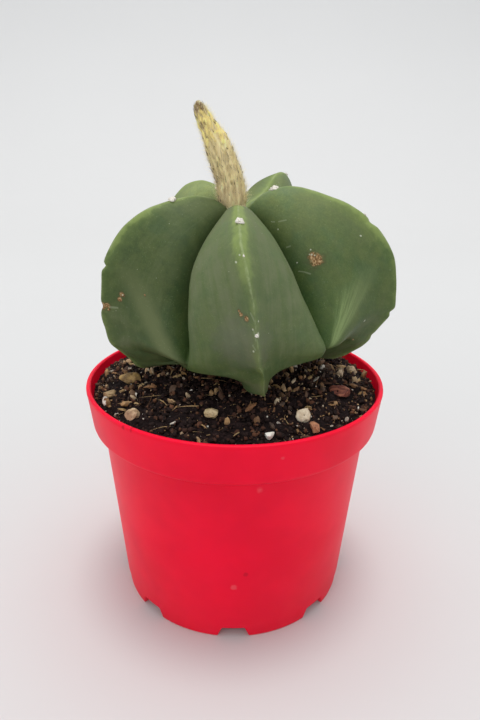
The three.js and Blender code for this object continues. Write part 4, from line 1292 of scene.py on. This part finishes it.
class CACTUS_OT_mix(bpy.types.Operator):
    """Model the bed of potting mix with its crumbly top and the hole for the neck"""
    bl_idname = "cactus.mix"
    bl_label = "Potting mix"

    def execute(self, context):
        settings = context.scene.cactus_mix
        columns, top_rows = 300, 96
        azimuth = np.arange(columns) * 360.0 / columns
        hole = around(azimuth, NECK_HOLE_RADIUS, 0.0) + np.array([0, CACTUS_Y, 0])
        rim = around(azimuth, MIX_RADIUS - 0.05, 0.0)
        # Up the hole for the neck, out over the crumbly top, and down the wall to the floor.
        hole_bottom = NECK_BOTTOM - 0.4
        rings = [np.tile((0, CACTUS_Y, hole_bottom), (columns, 1))]
        for height in (hole_bottom, 66.0, 72.5):
            ring = hole.copy()
            ring[:, 2] = height
            rings.append(ring)
        for share in np.linspace(0, 1, top_rows):
            ring = hole + (rim - hole) * share
            ring[:, 2] = mix_height(ring[:, 0], ring[:, 1])
            edge = min(1.0, share / 0.05, (1 - share) / 0.04)
            for point in ring:
                spot = Vector(point)
                clod = noise.noise(spot * 0.34) * 1.1 + noise.noise(spot * 0.95) * 0.75
                point[2] += edge * (clod + noise.noise(spot * 2.3) * 0.4 - 0.25)
            rings.append(ring)
        mix_bottom = FLOOR_TOP + 0.3
        for radius, height in ((41.9, BAND_BOTTOM + 1.2), (38.8, BAND_BOTTOM - 2.3),
                               (34.1, mix_bottom), (0, mix_bottom)):
            rings.append(around(azimuth, radius, height))
        bed = wrapped_grid("mix_bed", columns, len(rings), np.array(rings))
        smooth(bed, 50)
        finish(bed, damp_peat(settings), "potting_mix")
        return {"FINISHED"}


class CACTUS_OT_grit(bpy.types.Operator):
    """Scatter peat crumbs, grit, fine specks and shreds over the mix"""
    bl_idname = "cactus.grit"
    bl_label = "Crumbs and grit"

    def execute(self, context):
        settings = context.scene.cactus_mix
        rng = random.Random(settings.seed)
        fine = [pebble_form(20 + i, 1, 0.22, 0.1 * i) for i in range(7)]
        forms = [pebble_form(40 + i, 2, 0.16, 0.12 * (i % 4), 5) for i in range(10)]

        places, turns, sizes = scatter(rng, settings.crumbs, 0.35, 2.0, 0.10)
        crumbs = strewn("peat_crumbs", rng, fine, places, turns, sizes, rng.random)
        finish(crumbs, crumb_peat(settings))

        places, turns, sizes = scatter(rng, settings.grains, 0.7, 3.5, 0.16, False)
        shapes = [np.array([1.0, rng.uniform(0.38, 0.9), rng.uniform(0.35, 0.7)]) * size
                  for size in sizes]
        grains = strewn("grit_grains", rng, forms, places, turns, shapes,
                        lambda: rng.choice((rng.random() ** 2.2, rng.random() ** 0.6)))
        smooth(grains, 42)
        finish(grains, grit_stone())

        places, turns, sizes = scatter(rng, settings.specks, 0.2, 0.7, 0.7)
        specks = strewn("grit_specks", rng, fine, places, turns, sizes, rng.random)
        finish(specks, bpy.data.materials["mixed_grit"])
        return {"FINISHED"}


class CACTUS_OT_shreds(bpy.types.Operator):
    """Lay bark shreds, straw and fine roots over the mix"""
    bl_idname = "cactus.shreds"
    bl_label = "Bark and fibres"

    def execute(self, context):
        settings = context.scene.cactus_mix
        rng = random.Random(settings.seed + 1)
        places, _, _ = scatter(rng, settings.fibres, 0.6, 1.4, 0.35)
        roots, ways, lengths, thick, curls = [], [], [], [], []
        for place in places:
            length = rng.uniform(1.6, 6.5)
            turn = rng.uniform(0, 2 * math.pi)
            way = np.array([math.cos(turn), math.sin(turn), rng.uniform(-0.02, 0.22)])
            end = place + way * length
            if np.hypot(end[0], end[1]) > MIX_RADIUS - 0.6 or taken(end[0], end[1], 0.3):
                way[:2] = -unit(place[:2] + 1e-6)
            roots.append(place)
            ways.append(unit(way))
            lengths.append(length)
            thick.append(rng.choice((0.07, 0.1, 0.16, 0.3)))
            curls.append(np.array([rng.uniform(-0.4, 0.4), rng.uniform(-0.4, 0.4),
                                   rng.uniform(-0.22, -0.05)]))
        fibres = strands("shreds_and_roots", np.array(roots), np.array(ways), np.array(lengths),
                         np.array(thick), np.array(curls), steps=5,
                         tint=np.array([rng.random() for _ in roots]))
        finish(fibres, straw_fibre())

        flakes = [pebble_form(60 + i, 2, 0.34, 0.62) for i in range(6)]
        places, _, sizes = scatter(rng, BARK_CHIPS, 1.2, 4.4, 0.16, False)
        turns = [random_turn(rng, 0.5) for _ in places]
        shapes = [np.array([1.0, rng.uniform(0.3, 0.6), 0.7]) * size for size in sizes]
        chips = strewn("bark_chips", rng, flakes, places, turns, shapes,
                       lambda: rng.random() ** 0.8)
        smooth(chips, 40)
        finish(chips, bpy.data.materials["bark_and_straw"])
        return {"FINISHED"}


class CACTUS_OT_stones(bpy.types.Operator):
    """Model the largest stones and chips, one by one"""
    bl_idname = "cactus.stones"
    bl_label = "Named stones"

    def execute(self, context):
        for name in STONE_NODES:
            *_, turn, seed, slot, light, middle, dark, pits, depth = STONES[name]
            sharp = name.startswith("chip_")
            form, faces = pebble_form(seed, 5, 0.10, 0, 9 if sharp else 3)
            low, high = (np.array(corner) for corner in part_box(name))
            turned = form @ np.array(Euler(tuple(math.radians(a) for a in turn)).to_matrix()).T
            lowest, highest = turned.min(axis=0), turned.max(axis=0)
            spots = (turned - lowest) / (highest - lowest) * (high - low) + low
            stone = mesh_piece(f"{name}_fine", spots / MM, faces)
            smooth(stone, 35 if sharp else None)
            material = chip_material(f"{name}_surface", light, middle, dark, pits, depth,
                                     2.5 if "bark" in name else 1.0)
            finish(stone, material, name)
        return {"FINISHED"}


# ---------------------------------------------------------------- cactus

def clear_flower(spots):
    """Moves the points of the crown sideways until the flower has room."""
    share = np.clip((spots[:, 2] - FLOWER_BOTTOM) / (FLOWER_TOP - FLOWER_BOTTOM), 0, 1)
    away = spots - FLOWER.at(share)
    away[:, 2] = 0
    distance = np.maximum(np.linalg.norm(away, axis=1), 1e-6)
    room = np.where(spots[:, 2] > ROOM_BOTTOM, FLOWER.radius(share) + ROOM, 0)
    push = np.maximum(room - distance, 0)
    spots += away / distance[:, None] * push[:, None]


def weather(spots):
    """Gives the skin the slow unevenness of one that has grown."""
    for point in spots:
        spot = Vector(point)
        uneven = 0.16 * noise.noise(spot * 0.11) + 0.05 * noise.noise(spot * 0.42)
        out = Vector((point[0], point[1] - CACTUS_Y, (point[2] - BODY_CENTRE) * 0.5))
        point -= np.array(out.normalized()) * (0.12 + uneven)


class CACTUS_OT_body(bpy.types.Operator):
    """Model the cactus: five broad ribs that meet in a sunken crown"""
    bl_idname = "cactus.body"
    bl_label = "Cactus body"

    def execute(self, context):
        settings = context.scene.cactus_plant
        steps, rows = settings.columns, settings.rows
        # Rows lie closest where the flanks fold.
        reading = np.linspace(0, LAST_PLACE, 400)
        crowding = np.cumsum(1 + 1.9 * hump(reading, 13.0, 3.0) - 0.5 * (reading > 18.5))
        places = np.interp(np.linspace(crowding[0], crowding[-1], rows), crowding, reading)
        q = np.arange(steps) / steps
        # Columns lie closest at the ridge.
        rising = 1 - (1 - q) ** 1.35
        falling = 1 - q ** 1.35
        # Tone carries each rib's share of painted light and painted shade to the skin.
        flanks, across, flank_mark, front, tone, streaks = [], [], [], [], [], []
        for number in range(len(RIBS)):
            for side, run in ((-1, rising), (1, falling)):
                flanks.append(skin_points(number, side, places, run))
                across.append(np.tile(run, (rows, 1)))
                flank_mark.append(np.full((rows, steps), number * 2 + (side > 0), float))
                front.append(np.full((rows, steps), float(number == 0)) * np.clip(run / 0.25, 0, 1))
                tone.append(np.full((rows, steps), RIBS[number]["tone"]))
                streaks.append(np.full((rows, steps), float(RIBS[number]["streaks"][side > 0])))
        points = np.concatenate(flanks, axis=1)
        flat = points.reshape(-1, 3)
        clear_flower(flat)
        weather(flat)
        points = flat.reshape(points.shape)
        body = wrapped_grid(
            "cactus_skin", points.shape[1], rows, points, across=np.concatenate(across, 1),
            place=np.tile((places / LAST_PLACE)[:, None], (1, points.shape[1])),
            flank=np.concatenate(flank_mark, 1), front=np.concatenate(front, 1),
            tone=np.concatenate(tone, 1), streaks=np.concatenate(streaks, 1))
        smooth(body)
        finish(body, cactus_skin(settings), "cactus_body")
        return {"FINISHED"}


class CACTUS_OT_wool(bpy.types.Operator):
    """Grow the woolly cushions on the ridges"""
    bl_idname = "cactus.wool"
    bl_label = "Woolly cushions"

    def execute(self, context):
        rng = np.random.default_rng(31)
        forms = [pebble_form(80 + i, 3, 0.25) for i in range(4)]
        poses, sizes = [], []
        roots, ways, lengths, tints = [], [], [], []
        for i, (number, place, width, amount) in enumerate(CUSHIONS):
            at = ridge_point(number, place)
            along = unit(ridge_point(number, place + 0.25) - ridge_point(number, place - 0.25))
            side = unit(np.cross(along, around(RIBS[number]["azimuth"], 1.0, 0.3)))
            out = unit(np.cross(side, along))
            if out @ (at - np.array([0, CACTUS_Y, 100])) < 0:
                out = -out
            turn = np.column_stack([along, side, out])
            poses.append((turn, at - out * width * 0.05))
            sizes.append(np.array(CUSHION_SHAPE) * width)
            count = int(190 * amount * width)
            spread = rng.normal(size=(count, 2)) * np.array([0.30, 0.24]) * width
            roots.append(at + spread[:, :1] * along + spread[:, 1:] * side)
            lean = rng.normal(size=(count, 3)) * 0.75
            ways.append(unit(out + spread[:, :1] * along * 0.9 / width
                             + spread[:, 1:] * side * 0.9 / width + lean * 0.6))
            lengths.append(rng.uniform(0.3, 0.8, count) * width * 0.48)
            tints.append(rng.uniform(0, 1, count) ** 0.6)
        bed = merged_copies("wool_cushions", forms, [i % 4 for i in range(len(poses))], poses, sizes)
        smooth(bed)
        finish(bed, wool_bed())
        count = sum(len(r) for r in roots)
        wool = strands("wool_threads", np.concatenate(roots), np.concatenate(ways),
                       np.concatenate(lengths), np.full(count, 0.045),
                       rng.normal(size=(count, 3)) * 0.5, tint=np.concatenate(tints))
        finish(wool, white_wool())
        return {"FINISHED"}


# ---------------------------------------------------------------- dried flower

def scale_form(wave, seed):
    """A narrow, pointed scale of unit length that cups a little; its tip is at the top."""
    deselect()
    bpy.ops.mesh.primitive_grid_add(x_subdivisions=4, y_subdivisions=8, size=1)
    piece = added(f"scale_form_{seed}")
    spots = coordinates(piece)
    x, t = spots[:, 0] * 2, spots[:, 1] + 0.5
    half = 0.5 * (np.sin(math.pi * np.clip(t * 0.86 + 0.14, 0, 1)) ** 0.75) * (1 - t ** 3)
    rng = np.random.default_rng(seed)
    crinkle = 0.12 * np.sin(t * 9 + rng.uniform(0, 6)) * wave
    set_coordinates(piece, np.stack([x * half, t, -0.32 * (x * half) ** 2 * 4 + crinkle], -1))
    apply_modifier(piece, "SOLIDIFY", thickness=0.05, offset=0)
    active(piece)
    with editing():
        bpy.ops.mesh.quads_convert_to_tris()
        bpy.ops.mesh.normals_make_consistent(inside=False)
    return lifted(piece)


def laid_scales(name, material, forms, rng, shares, angles, lengths, widths, lift, sink, tints):
    """Lays scales on the flower and round it, each with its root in it and its tip up."""
    spots, faces, heights, tones = [], [], [], []
    for k, share in enumerate(shares):
        form, sides = forms[k % len(forms)]
        up = form[:, 1] * lengths[k]
        radius = FLOWER.radius(share)[0]
        turn = (form[:, 0] * widths[k] + up * rng.normal() * 0.10) / radius
        extra = form[:, 2] * widths[k] * 0.5 - sink + up * lift[k]
        spots.append(FLOWER.surface(share + up / FLOWER.length, angles[k] - turn, extra))
        faces.append(sides)
        heights.append(np.clip(form[:, 1], 0, 1))
        tones.append(np.full(len(form), tints[k]))
    scales = joined(name, spots, faces, height=heights, tint=tones)
    smooth(scales, 60)
    finish(scales, material)


class CACTUS_OT_flower(bpy.types.Operator):
    """Model the withered flower: tube, scales and the dry petals at its top"""
    bl_idname = "cactus.flower"
    bl_label = "Dried flower"

    def execute(self, context):
        settings = context.scene.cactus_flower
        rng = np.random.default_rng(53)
        columns, rows = 64, 90
        shares = np.linspace(0, 1.0, rows)
        angles = np.arange(columns) * 2 * math.pi / columns
        points = np.empty((rows, columns, 3))
        for j, share in enumerate(shares):
            out = FLOWER.across(np.full(columns, share), angles)
            ribs = 0.08 * np.sin(9 * angles + 6.0 * share) + 0.05 * np.sin(17 * angles - 9 * share)
            radius = FLOWER.radius(share)[0] - 0.25 + ribs * min(1, share * 5)
            points[j] = FLOWER.at(share) + out * radius[:, None]
        tube = wrapped_grid("flower_tube", columns, rows, points,
                            height=np.zeros((rows, columns)),
                            tint=np.tile(0.4 + 0.2 * np.sin(5 * angles), (rows, 1)))
        smooth(tube)
        finish(tube, dry_flower_skin("dry_tube", settings), "dried_flower")

        forms = [scale_form(0.15, 1), scale_form(0.35, 2), scale_form(0.6, 3)]
        count = settings.scales
        shares = np.linspace(0.14, 0.8, count) + rng.uniform(-0.01, 0.01, count)
        angles = np.arange(count) * GOLDEN_ANGLE + rng.normal(size=count) * 0.2
        laid_scales(
            "flower_scales", dry_flower_skin("dry_scales", settings, 0.2), forms, rng, shares,
            angles, rng.uniform(3.4, 5.4, count), rng.uniform(0.75, 1.25, count),
            rng.uniform(0.03, 0.15, count), 0.35, rng.uniform(0, 1, count))

        petals = [scale_form(0.9, 5), scale_form(1.4, 6), scale_form(0.6, 7)]
        shares = rng.uniform(0.60, 0.82, PETALS)
        laid_scales(
            "flower_petals", dry_flower_skin("dry_petals", settings, 1.0), petals, rng, shares,
            np.arange(PETALS) * GOLDEN_ANGLE,
            np.minimum(rng.uniform(4.5, 7.0, PETALS), (1.0 - shares) * FLOWER.length),
            rng.uniform(1.8, 2.7, PETALS), rng.uniform(0.0, 0.04, PETALS), 0.02,
            rng.uniform(0, 0.7, PETALS))

        count = FRAYED_SCALES
        shares = rng.uniform(0.78, 0.96, count)
        laid_scales(
            "flower_frayed_tip", dry_flower_skin("dry_tip", settings, 0.4, 0.2), petals + forms,
            rng, shares, np.arange(count) * GOLDEN_ANGLE,
            np.minimum(rng.uniform(1.6, 3.4, count), (1.0 - shares) * FLOWER.length),
            rng.uniform(0.6, 1.3, count), rng.uniform(0.0, 0.30, count), 0.3,
            rng.uniform(0.5, 1, count))
        return {"FINISHED"}


class CACTUS_OT_hair(bpy.types.Operator):
    """Cover the withered flower in fine hair"""
    bl_idname = "cactus.hair"
    bl_label = "Flower hair"

    def execute(self, context):
        settings = context.scene.cactus_flower
        rng = np.random.default_rng(61)
        count = settings.hairs
        shares = rng.beta(1.0, 1.25, count) * 0.74 + 0.10
        angles = rng.uniform(0, 2 * math.pi, count)
        out = FLOWER.across(shares, angles)
        up = FLOWER.upward(shares, angles, 2.5)
        roots = FLOWER.surface(shares, angles, -0.25)
        spread = rng.uniform(0.02, 0.34, count) + 0.5 * (rng.random(count) < 0.05)
        ways = unit(up + out * spread[:, None] + rng.normal(size=(count, 3)) * 0.46)
        lengths = rng.uniform(0.8, 2.9, count) * (1 - 0.2 * shares)
        lengths = np.minimum(lengths, FLOWER.length * (1.05 - shares))
        curls = rng.normal(size=(count, 3)) * 0.24 - out * 0.12
        hair = strands("flower_hair", roots, ways, lengths, rng.uniform(0.016, 0.036, count), curls,
                       tint=rng.uniform(0, 1, count) ** 0.8)
        finish(hair, dry_hair(settings))

        count = WISPS
        shares = rng.uniform(0.80, 0.94, count)
        out = FLOWER.across(shares, math.pi + rng.normal(size=count) * 0.7)
        roots = FLOWER.at(shares) + out * (FLOWER.radius(shares) - 0.3)[:, None]
        ways = unit(FLOWER.along(shares) * 0.8 + out * 0.6 + rng.normal(size=(count, 3)) * 0.3)
        wisps = strands("flower_wisps", roots, ways, rng.uniform(0.9, 1.9, count),
                        rng.uniform(0.015, 0.03, count), rng.normal(size=(count, 3)) * 0.3,
                        tint=rng.uniform(0.7, 1, count))
        finish(wisps, dry_hair(settings))

        count = settings.bristles
        shares = rng.uniform(0.12, 0.84, count)
        angles = rng.uniform(0, 2 * math.pi, count)
        out = FLOWER.across(shares, angles)
        roots = FLOWER.surface(shares, angles, 0.12)
        ways = unit(FLOWER.upward(shares, angles, 1.5) + rng.normal(size=(count, 3)) * 0.2)
        bristles = strands("flower_bristles", roots, ways, rng.uniform(0.7, 1.9, count),
                           rng.uniform(0.05, 0.13, count), rng.normal(size=(count, 3)) * 0.15,
                           tint=rng.uniform(0, 0.35, count))
        finish(bristles, straw_fibre())
        return {"FINISHED"}


# ---------------------------------------------------------------- stage

# The sheet lies flat behind its front edge, bends up and rises; in metres.
FLAT_RUN = 2.6
BEND_RUN = 0.9
CAMERA_PLACE = (0, -0.1771, 0.1446)
CAMERA_TURN = (68.508, -0.763, -0.17)

class CACTUS_OT_stage(bpy.types.Operator):
    """Set the pale floor, the soft lights and the camera"""
    bl_idname = "cactus.stage"
    bl_label = "Stage"

    def execute(self, context):
        scene = context.scene
        settings = scene.cactus_stage
        deselect()
        bpy.ops.mesh.primitive_grid_add(x_subdivisions=4, y_subdivisions=60, size=4)
        sheet = added("studio_floor")
        spots = coordinates(sheet)
        run = spots[:, 1] + 2
        angle = np.clip(run - FLAT_RUN, 0, BEND_RUN) / BEND_RUN * math.pi / 2
        radius = BEND_RUN / (math.pi / 2)
        spots[:, 1] = np.minimum(run, FLAT_RUN) - 2 + radius * np.sin(angle)
        spots[:, 2] = radius * (1 - np.cos(angle)) + np.maximum(run - FLAT_RUN - BEND_RUN, 0)
        set_coordinates(sheet, spots)
        smooth(sheet)
        sheet.data.materials.append(studio_sheet(settings))
        deselect()

        world = bpy.data.worlds.new("studio_air")
        world.use_nodes = True
        world.node_tree.nodes["Background"].inputs[0].default_value = (0.94, 0.964, 1.0, 1)
        world.node_tree.nodes["Background"].inputs[1].default_value = settings.air
        scene.world = world
        sun = self.light("top_light", "SUN", settings.sun, (1.0, 0.985, 0.96), angle=math.radians(16))
        sun.rotation_euler = tuple(math.radians(a) for a in (-1, 1.5, 0))
        self.disk("front_light", (-0.45, -0.75, 0.55), (0, 0, 0.08), 0.6, settings.fill_power)
        self.disk("back_light", (0, 0.30, 1.15), (0, 1.15, 0.25), 1.0, settings.back_power)

        lens = bpy.data.cameras.new("camera")
        lens.lens = 31.0
        lens.sensor_width = 36.0
        lens.clip_start = 0.01
        camera = bpy.data.objects.new("camera", lens)
        camera.location = CAMERA_PLACE
        camera.rotation_euler = tuple(math.radians(a) for a in CAMERA_TURN)
        scene.collection.objects.link(camera)
        scene.camera = camera
        scene.view_settings.view_transform = "Standard"
        return {"FINISHED"}

    @staticmethod
    def light(name, kind, power, colour, **shape):
        light = bpy.data.lights.new(name, kind)
        light.energy = power
        light.color = colour
        for key, value in shape.items():
            setattr(light, key, value)
        lamp = bpy.data.objects.new(name, light)
        bpy.context.scene.collection.objects.link(lamp)
        return lamp

    def disk(self, name, place, aim, size, power):
        lamp = self.light(name, "AREA", power, (0.97, 0.985, 1.0), shape="DISK", size=size)
        lamp.location = place
        way = Vector(aim) - Vector(place)
        lamp.rotation_euler = way.to_track_quat("-Z", "Y").to_euler()


class CACTUS_PT_panel(bpy.types.Panel):
    """The cactus, its pot and its stage"""
    bl_idname = "CACTUS_PT_panel"
    bl_label = "Potted cactus"
    bl_space_type = "VIEW_3D"
    bl_region_type = "UI"
    bl_category = "Cactus"

    def draw(self, context):
        layout = self.layout
        for group in SETTINGS:
            box = layout.box()
            settings = getattr(context.scene, group)
            for key in settings.__annotations__:
                box.prop(settings, key)
        for operator in OPERATORS:
            layout.operator(operator.bl_idname)


SETTINGS = {
    "cactus_pot": PotSettings,
    "cactus_mix": MixSettings,
    "cactus_plant": CactusSettings,
    "cactus_flower": FlowerSettings,
    "cactus_stage": StageSettings,
}
OPERATORS = (
    CACTUS_OT_pot, CACTUS_OT_mix, CACTUS_OT_grit, CACTUS_OT_shreds, CACTUS_OT_stones,
    CACTUS_OT_body, CACTUS_OT_wool, CACTUS_OT_flower, CACTUS_OT_hair, CACTUS_OT_stage,
)


def register():
    for group, settings in SETTINGS.items():
        bpy.utils.register_class(settings)
        setattr(bpy.types.Scene, group, PointerProperty(type=settings))
    for operator in OPERATORS:
        bpy.utils.register_class(operator)
    bpy.utils.register_class(CACTUS_PT_panel)


def unregister():
    bpy.utils.unregister_class(CACTUS_PT_panel)
    for operator in reversed(OPERATORS):
        bpy.utils.unregister_class(operator)
    for group, settings in SETTINGS.items():
        delattr(bpy.types.Scene, group)
        bpy.utils.unregister_class(settings)


def main():
    register()
    for operator in OPERATORS:
        group, name = operator.bl_idname.split(".")
        getattr(getattr(bpy.ops, group), name)()


if __name__ == "__main__":
    main()
